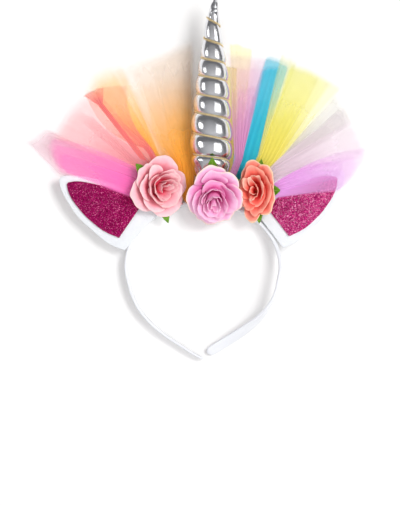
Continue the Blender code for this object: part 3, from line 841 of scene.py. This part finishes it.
# %% Layers of each strip
# One layer: where it is gathered and how wide, the corners a and b of its cut end, how far the
# end bulges between them, how far the fan's two edges bow, and how many times it is folded.
Layer = namedtuple(
    "Layer",
    "gather_x gather_y gather_width a_x a_y b_x b_y bulge bow_a bow_b folded roundness",
    defaults=(0, 0, 1, 2.0),
)
LAYERS = {
    "hot_pink": (
        Layer(-51, 66, 31, -115, 75, -121, 104, 6, 0, 4),
        Layer(-51, 65, 27, -113, 76, -118, 99, 5, 0, 3),
        Layer(-52, 62, 20, -110, 75, -114, 91, 4, 0, 1),
    ),
    "blush": (
        Layer(-58, 70, 16, -118, 71, -126, 114, 26, 0, 0, 1, 1.1),
        Layer(-58, 72, 14, -119, 80, -125, 108, 12, 0, 0, 1, 1.3),
    ),
    "rose": (
        Layer(-47, 83, 26, -125, 102, -93, 142, 6),
        Layer(-47, 81, 13, -120, 101, -100, 129, 5),
        Layer(-53, 82, 4, -99, 116, -91, 125, 1),
    ),
    "coral": (
        Layer(-44, 95, 6, -96, 140, -60, 146, 2, 0, -6),
        Layer(-44, 95, 5, -95, 139, -84, 140, 1, -10, -1, 1.4),
        Layer(-82, 130, 4, -97, 137, -78, 144, 1, 0, 0, 1.3),
    ),
    "peach": (
        Layer(-38, 84, 11, -100, 142, -64, 167, 9),
        Layer(-38, 84, 8, -95, 146, -72, 161, 7),
    ),
    "orange": (
        Layer(-22, 86, 27, -60, 151, 0, 158, 2, -6, 0),
        Layer(-15, 86, 18, -44, 137, -1, 143, 2, -8, 0),
        Layer(-12, 84, 14, -32, 127, -1, 131, 2, -4, 0),
        Layer(-12, 83, 11, -24, 112, -3, 114, 1, -2, 0),
    ),
    "ivory": (
        Layer(-20, 84, 18, -77, 160, -5, 184, 3),
        Layer(-18, 86, 14, -62, 159, -5, 178, 3),
        Layer(-14, 90, 10, -46, 162, -6, 186, 2),
    ),
    "lemon": (
        Layer(27.5, 88, 4, 21, 181, 41, 175, 1, 0, 0, 0.7),
        Layer(23.5, 88, 5, 18, 163, 28, 161, 0, 0, 0, 1.8),
    ),
    "mauve": (
        Layer(28, 86, 6, 19, 173, 54, 169, 1),
        Layer(29, 86, 5, 26, 162, 50, 161, 1),
        Layer(30, 86, 4, 27, 142, 44, 147, 1),
    ),
    "blue": (
        Layer(33.6, 86, 21, 50, 171, 71, 163, 1),
        Layer(33.6, 86, 20, 48, 161, 65, 163, 0.5),
    ),
    "yellow": (
        Layer(52, 86, 16, 69, 166, 114, 144, 2),
        Layer(51.5, 86, 14, 69, 164, 105, 147, 2),
        Layer(51, 87, 11, 69, 162, 96, 153, 1),
        Layer(44.5, 88, 2, 62, 172, 76, 165, 1),
    ),
    "white": (
        Layer(60, 81, 6, 108, 142, 122, 118, 2),
        Layer(60, 80, 5, 112, 129, 122, 116, 1),
    ),
    "pale_lilac": (
        Layer(58, 77, 13, 113, 131, 134, 90, 4),
        Layer(58, 75, 11, 118, 119, 133, 88, 3),
    ),
    "lilac": (
        Layer(58, 63, 20, 132, 96, 109, 60, 8, -5, 0),
        Layer(58, 62, 18, 124, 89, 109, 60, 6, -4, 0),
        Layer(58, 65, 9, 112, 85, 108, 70, 3, -4, 0),
    ),
}
print("layers", sum(len(rows) for rows in LAYERS.values()))

# %% Roots of the strips
NET_ACROSS = 61
NET_ALONG = 40
NET_FOLDS = 4
NET_GATHER = 0.22
NET_FULLNESS = 1.12
NET_DEEPEST = 0.22
NET_FLATTEST = 0.12
NET_DRIFT = 1.6
FOLD_WANDER = 2.4
LAYER_SPACING = 0.6
LAYER_LIFT = 0.3
OVER_TABLE = 0.35
OFF_THE_BAND = 0.8
FACE_SEAT = 0.45
MOST_CROWDED = 2.6


def net_root(strip):
    """The middle of the strip's held end, on the band's front edge or its outer face."""
    angle = math.radians(strip.root)
    outward = 0.0 if strip.seat == "edge" else BAND_THICKNESS / 2 + OFF_THE_BAND
    up = BAND_WIDTH + OFF_THE_BAND if strip.seat == "edge" else BAND_WIDTH * FACE_SEAT
    x = (ARCH_HALF_WIDTH + outward) * math.cos(angle)
    y = (ARCH_HEIGHT + outward) * math.sin(angle)
    held = np.array((ARCH_HALF_WIDTH * math.sin(angle), -ARCH_HEIGHT * math.cos(angle), 0.0))
    return np.array((x, y, arch_lift(strip.root) + up)), held / np.linalg.norm(held)


print("first root", net_root(STRIPS[0])[0].round(1), "mm")


# %% Net meshes
def net_layer(strip, index, layer):
    """One layer of a strip as a grid of points, with how crowded its threads are at each."""
    root, held = net_root(strip)
    gather = np.array((layer.gather_x, layer.gather_y, strip.gather_z), float)
    end_a = np.array((layer.a_x, layer.a_y, strip.end_z), float)
    end_b = np.array((layer.b_x, layer.b_y, strip.end_z), float)
    fan = np.linalg.norm(end_b - end_a)
    across = (end_b - end_a) / fan
    outward = (end_a + end_b) / 2 - gather
    outward /= np.linalg.norm(outward)
    toward_b = np.array((outward[1], -outward[0], 0.0))
    u, v = np.meshgrid(np.linspace(-0.5, 0.5, NET_ACROSS), np.linspace(0, 1, NET_ALONG))
    seed = strip.root + index * 7
    ragged = wobble(np.stack((u * 4, 0 * v, 0 * v + seed), axis=-1), 1.0)
    bulge = layer.bulge * (1 - np.abs(2 * u) ** layer.roundness) + NET_DRIFT * ragged
    ends = end_a + (end_b - end_a) * (u + 0.5)[..., None] + outward * bulge[..., None]
    gathered = gather + across * (u * layer.gather_width)[..., None]
    roots = root + held * (u * strip.root_width)[..., None]
    near = np.clip(v / NET_GATHER, 0, 1)
    far = np.clip((v - NET_GATHER) / (1 - NET_GATHER), 0, 1)
    fanned = gathered + (ends - gathered) * far[..., None]
    points = np.where(near[..., None] < 1, roots + (gathered - roots) * near[..., None], fanned)
    sideways = wobble(np.stack((u * 1.5, v * 2.2, 0 * v + seed), axis=-1), 1.0, 2.0)
    bow = (layer.bow_a + (layer.bow_b - layer.bow_a) * (u + 0.5)) * np.sin(math.pi * far)
    points += toward_b * (bow + NET_DRIFT * sideways * far)[..., None]
    depth = NET_FLATTEST + (NET_DEEPEST - NET_FLATTEST) * np.minimum(near, (1 - far) ** 1.4)
    folds = np.cos(math.tau * NET_FOLDS * u + seed + FOLD_WANDER * sideways)
    points[..., 2] += depth * folds + LAYER_SPACING * index + LAYER_LIFT
    points[..., 2] = np.maximum(points[..., 2], OVER_TABLE)
    belly = abs(layer.bow_b - layer.bow_a) * np.sin(math.pi * far)
    opened = layer.gather_width + (fan - layer.gather_width) * far + belly
    held_width = strip.root_width + (layer.gather_width - strip.root_width) * near
    width = np.where(near < 1, held_width, opened)
    crowding = np.minimum(max(fan, layer.gather_width) * NET_FULLNESS / width, MOST_CROWDED)
    return points, crowding * layer.folded


def make_net(strip):
    layers = [net_layer(strip, index, layer) for index, layer in enumerate(LAYERS[strip.name])]
    piece = grid_mesh(f"net_{strip.name}", [points for points, crowding in layers])
    crowded = piece.data.attributes.new("crowding", "FLOAT", "POINT")
    values = np.concatenate([crowding.ravel() for points, crowding in layers])
    crowded.data.foreach_set("value", values.astype(np.float32))
    return piece


nets = [make_net(strip) for strip in STRIPS]
print("nets", [piece.name for piece in nets])

# %% [markdown]
# Net is mostly holes, so one layer hides only part of what is behind it. A layer lets through
# the same share of light at every crossing of threads, so a crowded stretch lets through that
# share raised to the power of its crowding. Faint streaks follow the folds, because threads
# bunch in them. Cut edges fray to nothing. Net is so open that it throws no shadow worth drawing.

# %% Tulle finish
NetLook = namedtuple("NetLook", "cover colour deep fray")
NET_LOOKS = {
    "hot_pink": NetLook(0.29, (0.88, 0.17, 0.50), (0.80, 0.06, 0.37), 0.95),
    "blush": NetLook(0.48, (0.64, 0.42, 0.48), (0.60, 0.34, 0.42), 0.88),
    "rose": NetLook(0.27, (0.76, 0.34, 0.36), (0.78, 0.24, 0.28), 0.88),
    "coral": NetLook(0.31, (0.82, 0.25, 0.17), (0.80, 0.17, 0.17), 0.96),
    "peach": NetLook(0.26, (0.80, 0.46, 0.06), (0.78, 0.36, 0.08), 0.80),
    "orange": NetLook(0.19, (0.82, 0.42, 0.06), (0.84, 0.29, 0.01), 0.80),
    "ivory": NetLook(0.28, (0.68, 0.58, 0.49), (0.74, 0.48, 0.28), 0.90),
    "lemon": NetLook(0.34, (0.77, 0.70, 0.06), (0.56, 0.42, 0.12), 0.97),
    "mauve": NetLook(0.26, (0.64, 0.32, 0.50), (0.58, 0.22, 0.46), 0.93),
    "blue": NetLook(0.64, (0.02, 0.44, 0.60), (0.0, 0.36, 0.53), 0.94),
    "yellow": NetLook(0.26, (0.67, 0.65, 0.12), (0.74, 0.60, 0.08), 0.94),
    "white": NetLook(0.36, (0.54, 0.53, 0.50), (0.50, 0.43, 0.40), 0.90),
    "pale_lilac": NetLook(0.25, (0.66, 0.54, 0.61), (0.62, 0.49, 0.55), 0.90),
    "lilac": NetLook(0.29, (0.66, 0.34, 0.66), (0.82, 0.26, 0.80), 0.93),
}
SIDE_FRAY = 0.10
PACKED_AT_ROOT = 1.6


def net_finish(strip, look):
    made = Finish(f"tulle_{strip.name}", Roughness=0.75, Sheen_Weight=0.2)
    across, along = made.cloth()
    crowding = made.node("ShaderNodeAttribute", {"attribute_name": "crowding"}, {}, "Fac")
    streaks = made.noise(made.joined(across * 12, along * 1.0, strip.root), 1.0, 2, 0.5)
    broad = made.noise(made.joined(across * 4, along * 1.0, strip.root + 9), 1.0, 1)
    packed = 1 + PACKED_AT_ROOT * (1 - along.step(0.12, 0.80))
    bunched = crowding * packed * (0.60 + 0.30 * streaks + 0.50 * broad)
    cover = 1 - (1 - look.cover) ** bunched
    sides = across.step(0.0, SIDE_FRAY) * (1 - across.step(1 - SIDE_FRAY, 1.0))
    ends = 1 - along.step(look.fray, 1.0)
    made.set("Alpha", (cover * sides * ends).clipped())
    made.set("Base Color", made.mix((crowding * 0.4 - 0.4).clipped(), look.colour, look.deep))
    made.relief(streaks, 0.0002, 0.2)
    return made.material


for strip, piece in zip(STRIPS, nets):
    node = f"tulle_{strip.name}"
    finish_piece(piece, net_finish(strip, NET_LOOKS[strip.name]), node, node)
    piece.visible_shadow = False
    area = sum(face.area for face in piece.data.polygons)
    first = LAYERS[strip.name][0]
    flat_width = math.hypot(first.b_x - first.a_x, first.b_y - first.a_y) * NET_FULLNESS * MM
    area / flat_width
    print(strip.name, "flat", round(flat_width / MM), "x", round(area / flat_width / MM), "mm in all")

# %% [markdown]
# A paper rose is built from the inside out: petals are cut, cupped and curled, and glued round
# a rolled heart. One petal is a grid that follows its own rule. It spreads round the rose's axis,
# rises as a cup and rolls back at its rim. A table gives each petal its bearing, its spread, how
# far out and how high its base and its rim lie, and how far the rim rolls out and down.

# %% Rose tables
Petal = namedtuple("Petal", "bearing spread base rim low high flare droop tuck")
Rose = namedtuple("Rose", "side x y z lean_to lean half_width half_height heart_x heart_y")
ROSES = (
    Rose("left", -38.2, 64.4, 17.2, -25, 18, 24.2, 25.2, 7.6, -0.4),
    Rose("middle", 8.0, 61.6, 22.5, -90, 26, 23.0, 26.5, 0.8, -8.0),
    Rose("right", 44.0, 60.0, 19.1, 180, 10, 15.6, 23.6, -3.6, 1.0),
)
PETALS = {
    "left": (
        ("outer_petals", (
            Petal(207, 50, 4.0, 23.5, 0.0, 6.5, 1.4, 2.6, 0.8),
            Petal(143, 42, 4.0, 21.5, 0.5, 7.5, 1.4, 2.4, 0.8),
            Petal(78, 48, 4.0, 24.0, 0.2, 7.0, 1.6, 2.6, 0.8),
            Petal(8, 46, 4.0, 22.0, 0.4, 6.5, 1.4, 2.4, 0.8),
            Petal(-60, 50, 4.0, 23.5, 0.2, 6.5, 1.4, 2.6, 0.8),
        )),
        ("middle_petals", (
            Petal(118, 36, 3.8, 17.5, 1.4, 13.0, 3.4, 3.0, 1.4),
            Petal(176, 52, 3.8, 18.5, 1.2, 11.5, 1.6, 1.8, 0.9),
            Petal(240, 50, 3.8, 19.0, 1.3, 10.5, 1.6, 1.6, 0.9),
            Petal(48, 50, 3.8, 15.0, 1.6, 12.0, 1.8, 1.6, 0.9),
            Petal(-30, 62, 3.8, 15.0, 1.5, 11.5, 1.4, 1.4, 0.9),
        )),
        ("inner_petals", (
            Petal(190, 84, 3.4, 14.0, 2.4, 15.0, 1.2, 0.9, 1.6),
            Petal(290, 60, 3.4, 14.5, 2.6, 13.0, 1.2, 0.9, 0.9),
            Petal(62, 74, 3.4, 11.5, 2.6, 15.4, 1.4, 1.0, 1.2),
            Petal(0, 185, 0.3, 12.0, 4.2, 4.6, 0.0, 0.0, 0.0),
        )),
        ("bud", (
            Petal(200, 96, 2.8, 10.4, 3.6, 15.6, 0.9, 0.6, 1.2),
            Petal(30, 80, 2.6, 7.6, 3.6, 17.4, 0.9, 0.8, 1.6),
            Petal(250, 74, 2.2, 8.4, 3.8, 13.6, 0.7, 0.6, 1.0),
            Petal(150, 84, 1.8, 6.0, 3.8, 16.6, 0.7, 0.4, 1.2),
            Petal(60, 110, 1.0, 3.4, 3.8, 18.0, 1.0, 0.6, 1.0),
        )),
    ),
    "middle": (
        ("outer_petals", (
            Petal(98, 54, 4.0, 22.5, 0.4, 8.0, 1.6, 2.4, 1.6),
            Petal(40, 40, 4.0, 23.0, 0.6, 8.5, 1.4, 2.4, 1.4),
            Petal(196, 44, 4.0, 22.0, 0.0, 7.0, 1.4, 2.2, 0.8),
            Petal(250, 44, 4.0, 22.0, 0.3, 7.0, 1.6, 2.6, 0.8),
            Petal(302, 42, 4.0, 21.5, 0.5, 7.5, 1.6, 2.4, 0.8),
            Petal(-10, 44, 4.0, 23.0, 0.2, 8.5, 2.2, 3.0, 0.8),
        )),
        ("middle_petals", (
            Petal(86, 48, 3.8, 19.5, 1.2, 8.5, 2.2, 1.8, 0.8),
            Petal(0, 54, 3.8, 18.0, 1.6, 13.0, 2.2, 1.8, 1.4),
            Petal(205, 46, 3.8, 17.5, 1.2, 10.5, 2.0, 1.6, 0.9),
            Petal(266, 46, 3.8, 16.0, 1.4, 10.5, 2.0, 1.6, 0.9),
        )),
        ("inner_petals", (
            Petal(112, 78, 3.4, 11.5, 2.4, 15.8, 1.6, 1.0, 1.8),
            Petal(214, 66, 3.4, 13.0, 2.4, 14.0, 1.4, 1.0, 0.9),
            Petal(-40, 76, 3.4, 11.0, 2.6, 14.6, 1.2, 0.8, 1.2),
            Petal(0, 185, 0.3, 12.0, 4.2, 4.6, 0.0, 0.0, 0.0),
        )),
        ("bud", (
            Petal(84, 92, 2.8, 7.8, 3.6, 17.0, 1.2, 0.8, 1.8),
            Petal(236, 84, 2.8, 9.0, 3.6, 14.6, 0.9, 0.7, 1.0),
            Petal(160, 88, 2.2, 5.4, 3.8, 16.4, 0.8, 0.5, 1.4),
            Petal(-30, 90, 1.8, 5.0, 3.8, 16.0, 0.8, 0.4, 1.0),
            Petal(110, 140, 1.0, 2.4, 3.8, 17.6, 0.6, 0.4, 0.8),
        )),
    ),
    "right": (
        ("outer_petals", (
            Petal(104, 52, 3.4, 16.2, 0.4, 8.0, 1.0, 2.0, 0.9),
            Petal(40, 46, 3.4, 16.0, 0.2, 8.0, 1.0, 2.0, 0.7),
            Petal(-28, 50, 3.4, 15.8, 0.4, 7.5, 1.0, 2.0, 0.7),
            Petal(-108, 34, 3.4, 16.0, 0.1, 6.0, 1.0, 2.0, 0.7),
            Petal(180, 54, 3.4, 14.8, 0.3, 6.5, 1.0, 2.0, 0.7),
        )),
        ("middle_petals", (
            Petal(86, 62, 3.2, 12.6, 1.3, 12.5, 1.8, 1.8, 1.2),
            Petal(-8, 70, 3.2, 13.4, 1.5, 11.0, 1.6, 1.6, 0.8),
            Petal(-76, 46, 3.2, 12.6, 1.2, 9.5, 1.4, 1.2, 0.8),
            Petal(164, 50, 3.2, 11.0, 1.4, 11.5, 1.2, 1.0, 0.8),
            Petal(222, 44, 3.2, 11.6, 1.4, 8.6, 1.2, 1.0, 0.8),
        )),
        ("inner_petals", (
            Petal(36, 84, 2.8, 8.6, 2.4, 14.6, 1.2, 0.9, 1.2),
            Petal(140, 44, 2.8, 7.0, 2.6, 16.6, 1.8, 1.0, 0.6),
            Petal(0, 185, 0.3, 9.0, 4.2, 4.6, 0.0, 0.0, 0.0),
        )),
        ("bud", (
            Petal(100, 40, 1.6, 5.6, 3.8, 17.4, 2.2, 1.4, 0.4),
            Petal(-96, 34, 1.4, 5.4, 3.8, 14.6, 2.0, 1.4, 0.4),
            Petal(-10, 100, 1.8, 4.2, 3.8, 12.6, 0.5, 0.3, 0.5),
            Petal(200, 110, 1.0, 2.4, 3.8, 13.0, 0.3, 0.2, 0.5),
        )),
    ),
}
print("petals", sum(len(rows) for whorls in PETALS.values() for name, rows in whorls))

# %% Petal shape
PETAL_ACROSS = 21
PETAL_ALONG = 16
PETAL_THICKNESS = 0.42
ROLL_FROM = 0.66
SIDE_ROLL_FROM = 0.7
CORNERS_CUT = 0.24
RUFFLE = 0.95
HEART_HEIGHT = 17


def petal_grid(petal, seed):
    """One petal round the rose's own axis, base row first."""
    u, v = np.meshgrid(np.linspace(-1, 1, PETAL_ACROSS), np.linspace(0, 1, PETAL_ALONG))
    part = v * (1 - CORNERS_CUT * np.abs(u) ** 3.2)
    roll = np.clip((part - ROLL_FROM) / (1 - ROLL_FROM), 0, 1)
    side_roll = np.clip((np.abs(u) - SIDE_ROLL_FROM) / (1 - SIDE_ROLL_FROM), 0, 1) ** 2 * part
    radius = petal.base + (petal.rim - petal.base) * part**0.85
    radius += petal.flare * (roll**1.5 - 0.5) * part
    height = petal.low + (petal.high - petal.low) * part**1.35
    height -= petal.droop * roll**2.2 + 0.25 * petal.droop * side_roll
    height += petal.tuck * u * part
    widest_halfway = 0.72 + 0.28 * np.sin(math.pi * part)
    bearing = math.radians(petal.bearing) + math.radians(petal.spread) * u * widest_halfway
    rim = np.stack((bearing * 1.6, part * 1.2, part * 0 + seed), axis=-1)
    ripples = wobble(rim * 2.2, 1.0) * part**2
    radius += RUFFLE * 1.6 * ripples
    height += RUFFLE * 1.4 * wobble(rim * 2.6, 1.0, 4.0) * part**2
    return np.stack((radius * np.cos(bearing), radius * np.sin(bearing), height), axis=-1)


def rose_matrix(rose):
    """From a rose's own millimetres to the headband's: oval, leaning and in its place."""
    lean_to = math.radians(rose.lean_to)
    axis = Vector((-math.sin(lean_to), math.cos(lean_to), 0))
    lean = Matrix.Rotation(math.radians(rose.lean), 4, axis)
    oval = Matrix.Diagonal((1, rose.half_height / rose.half_width, 1, 1))
    heart = Matrix.Identity(4)
    heart[0][2] = rose.heart_x / HEART_HEIGHT
    heart[1][2] = rose.heart_y / HEART_HEIGHT
    return np.array(Matrix.Translation((rose.x, rose.y, rose.z)) @ lean @ oval @ heart)


def make_whorl(rose, name, rows):
    place = rose_matrix(rose)
    grids = []
    for index, row in enumerate(rows):
        grid = petal_grid(row, index * 3.7 + rose.x)
        grids.append(grid @ place[:3, :3].T + place[:3, 3])
    piece = grid_mesh(f"{rose.side}_rose_{name}", grids)
    apply_modifier(piece, "SOLIDIFY", thickness=PETAL_THICKNESS * MM, offset=0.0)
    apply_modifier(piece, "SUBSURF", levels=1, render_levels=1)
    return piece


whorls = []
for rose in ROSES:
    for name, rows in PETALS[rose.side]:
        whorls.append((rose.side, name, make_whorl(rose, name, rows)))
print("whorls", len(whorls))

# %% [markdown]
# The paper's colour is deepest at each petal's base and in the rolled heart, and pales towards
# the rim, partly dye and partly painted shade where the petals close over one another. Some rims
# are left cream. It is matt, with fine fibres and faint veins from the mould that pressed it.

# %% Petal finish
# base and heart hold painted shade: the deep colour where petals close over one another at their bases and
# in the rolled heart.
PetalLook = namedtuple("PetalLook", "base middle rim heart heart_rim")
PETAL_LOOKS = {
    "left": PetalLook(
        (0.78, 0.12, 0.19),
        (0.91, 0.36, 0.43),
        (0.96, 0.62, 0.67),
        (0.76, 0.06, 0.12),
        (0.96, 0.54, 0.58),
    ),
    "middle": PetalLook(
        (0.70, 0.10, 0.36),
        (0.90, 0.34, 0.62),
        (0.96, 0.58, 0.80),
        (0.68, 0.08, 0.32),
        (0.95, 0.50, 0.73),
    ),
    "right": PetalLook(
        (0.62, 0.02, 0.02),
        (0.88, 0.15, 0.11),
        (0.94, 0.34, 0.26),
        (0.62, 0.01, 0.01),
        (0.96, 0.48, 0.38),
    ),
}
SLOTS = {
    "left": ("petals_pale_pink", "heart_rose_red"),
    "middle": ("petals_orchid", "heart_orchid"),
    "right": ("petals_coral", "heart_red"),
}
CREAM = (0.96, 0.86, 0.55)


def petal_finish(side, inner, cream):
    look = PETAL_LOOKS[side]
    deep, middle, rim = (look.heart, look.middle, look.heart_rim) if inner else look[:3]
    made = Finish(f"paper_{side}_{'heart' if inner else 'petals'}_{round(cream * 10)}", Roughness=0.78)
    across, along = made.cloth()
    spot = made.place()
    blotch = made.noise(spot, 160, 3)
    fibre = made.noise(spot, 1500, 3, 0.6)
    vein = made.noise(made.joined(across * 26, along * 2.0), 1.0, 2)
    depth = (along + 0.22 * (blotch - 0.5) + 0.12 * (vein - 0.5)).clipped()
    # The deep colour near the base is painted shade between the petals, and the paling towards the rim is
    # dye.
    dyed_and_shaded = made.ramp(depth, (0.35, deep), (0.70, middle), (0.98, rim))
    edge = along.step(0.90, 0.985) * cream
    made.set("Base Color", made.mix(edge, dyed_and_shaded, CREAM))
    made.relief(fibre + vein * 0.8, 0.0003, 0.6)
    return made.material


for side, name, piece in whorls:
    inner = name in ("bud", "inner_petals")
    cream = 0.55 if name == "outer_petals" and side != "left" else 0.1
    slot = SLOTS[side][1 if name == "bud" else 0]
    finish_piece(piece, petal_finish(side, inner, cream), slot, f"rose_{side}_{name}")

# %% [markdown]
# Each rose sits on a green paper calyx, and only the tips of its leaves look out between the
# petals. A leaf is a pointed grid, folded up slightly at its midrib.

# %% Leaves
Leaf = namedtuple("Leaf", "bearing reach half_width")
LEAVES = {
    "left": (Leaf(135, 25.5, 5.0), Leaf(-71, 30.0, 5.0), Leaf(35, 19.0, 6.0), Leaf(220, 19.0, 6.0)),
    "middle": (Leaf(92, 26.6, 5.2), Leaf(26, 22.8, 4.2), Leaf(190, 18.0, 6.0), Leaf(-70, 18.0, 6.0)),
    "right": (Leaf(78, 17.6, 3.6), Leaf(2, 18.8, 3.6), Leaf(-84, 17.0, 4.0), Leaf(180, 12.0, 4.0)),
}
LEAF_ACROSS = 13
LEAF_ALONG = 22
LEAF_DROP = 1.2
LEAF_RISE = 3.6
LEAF_FOLD = 0.9
TOOTH_DEPTH = 0.06
TOOTH_RATE = 46


def leaf_grid(leaf):
    u, v = np.meshgrid(np.linspace(-1, 1, LEAF_ACROSS), np.linspace(0, 1, LEAF_ALONG))
    half = leaf.half_width * np.sin(math.pi * np.clip(0.12 + 0.88 * v, 0, 1)) ** 0.8 + 0.02
    teeth = 1 + TOOTH_DEPTH * np.sin(v * TOOTH_RATE) * np.abs(u) ** 3
    along = 1.0 + (leaf.reach - 1.0) * v
    side = u * half * teeth
    height = LEAF_RISE * v**1.3 - LEAF_DROP + LEAF_FOLD * np.abs(u) * np.sin(math.pi * v)
    angle = math.radians(leaf.bearing)
    x = along * math.cos(angle) - side * math.sin(angle)
    y = along * math.sin(angle) + side * math.cos(angle)
    return np.stack((x, y, height), axis=-1)


green = Finish("leaf_green", Roughness=0.5)
across, along = green.cloth()
aside = across.maths("ABSOLUTE", across - 0.5)
rib = 1 - aside.step(0.0, 0.05)
side_ribs = aside.maths("SINE", aside * 26 - along * 42)
mottle = green.noise(green.place(), 300, 3)
fresh = green.mix(mottle, (0.05, 0.20, 0.01), (0.22, 0.42, 0.02))
green.set("Base Color", green.mix(rib * 0.7, fresh, (0.42, 0.62, 0.14)))
green.relief(rib + 0.3 * side_ribs, 0.0003, 0.8)
for rose in ROSES:
    place = rose_matrix(rose)
    grids = [leaf_grid(leaf) @ place[:3, :3].T + place[:3, 3] for leaf in LEAVES[rose.side]]
    leaves = grid_mesh(f"{rose.side}_rose_leaves", grids)
    apply_modifier(leaves, "SOLIDIFY", thickness=PETAL_THICKNESS * MM, offset=0.0)
    finish_piece(leaves, green.material, "leaf_green", f"leaves_{rose.side}")

# %% [markdown]
# The table is a wide, plain, nearly white sheet of card. It is stage and not part of the object.

# %% Floor
FLOOR_SIZE = 16
FLOOR_BELOW = 0.0002

bpy.ops.object.select_all(action="DESELECT")
bpy.ops.mesh.primitive_plane_add(size=FLOOR_SIZE, location=(0, 0, -FLOOR_BELOW))
floor = bpy.context.object
floor.name = "card_floor"
bpy.ops.object.transform_apply(location=True, rotation=False, scale=False)
card = Finish("white_card", Roughness=0.7)
tone = card.noise(card.place(), 30, 2)
card.set("Base Color", card.mix(tone, (0.90, 0.895, 0.89), (0.93, 0.925, 0.92)))
floor.data.materials.append(card.material)
print("floor", FLOOR_SIZE, "m wide")

# %% [markdown]
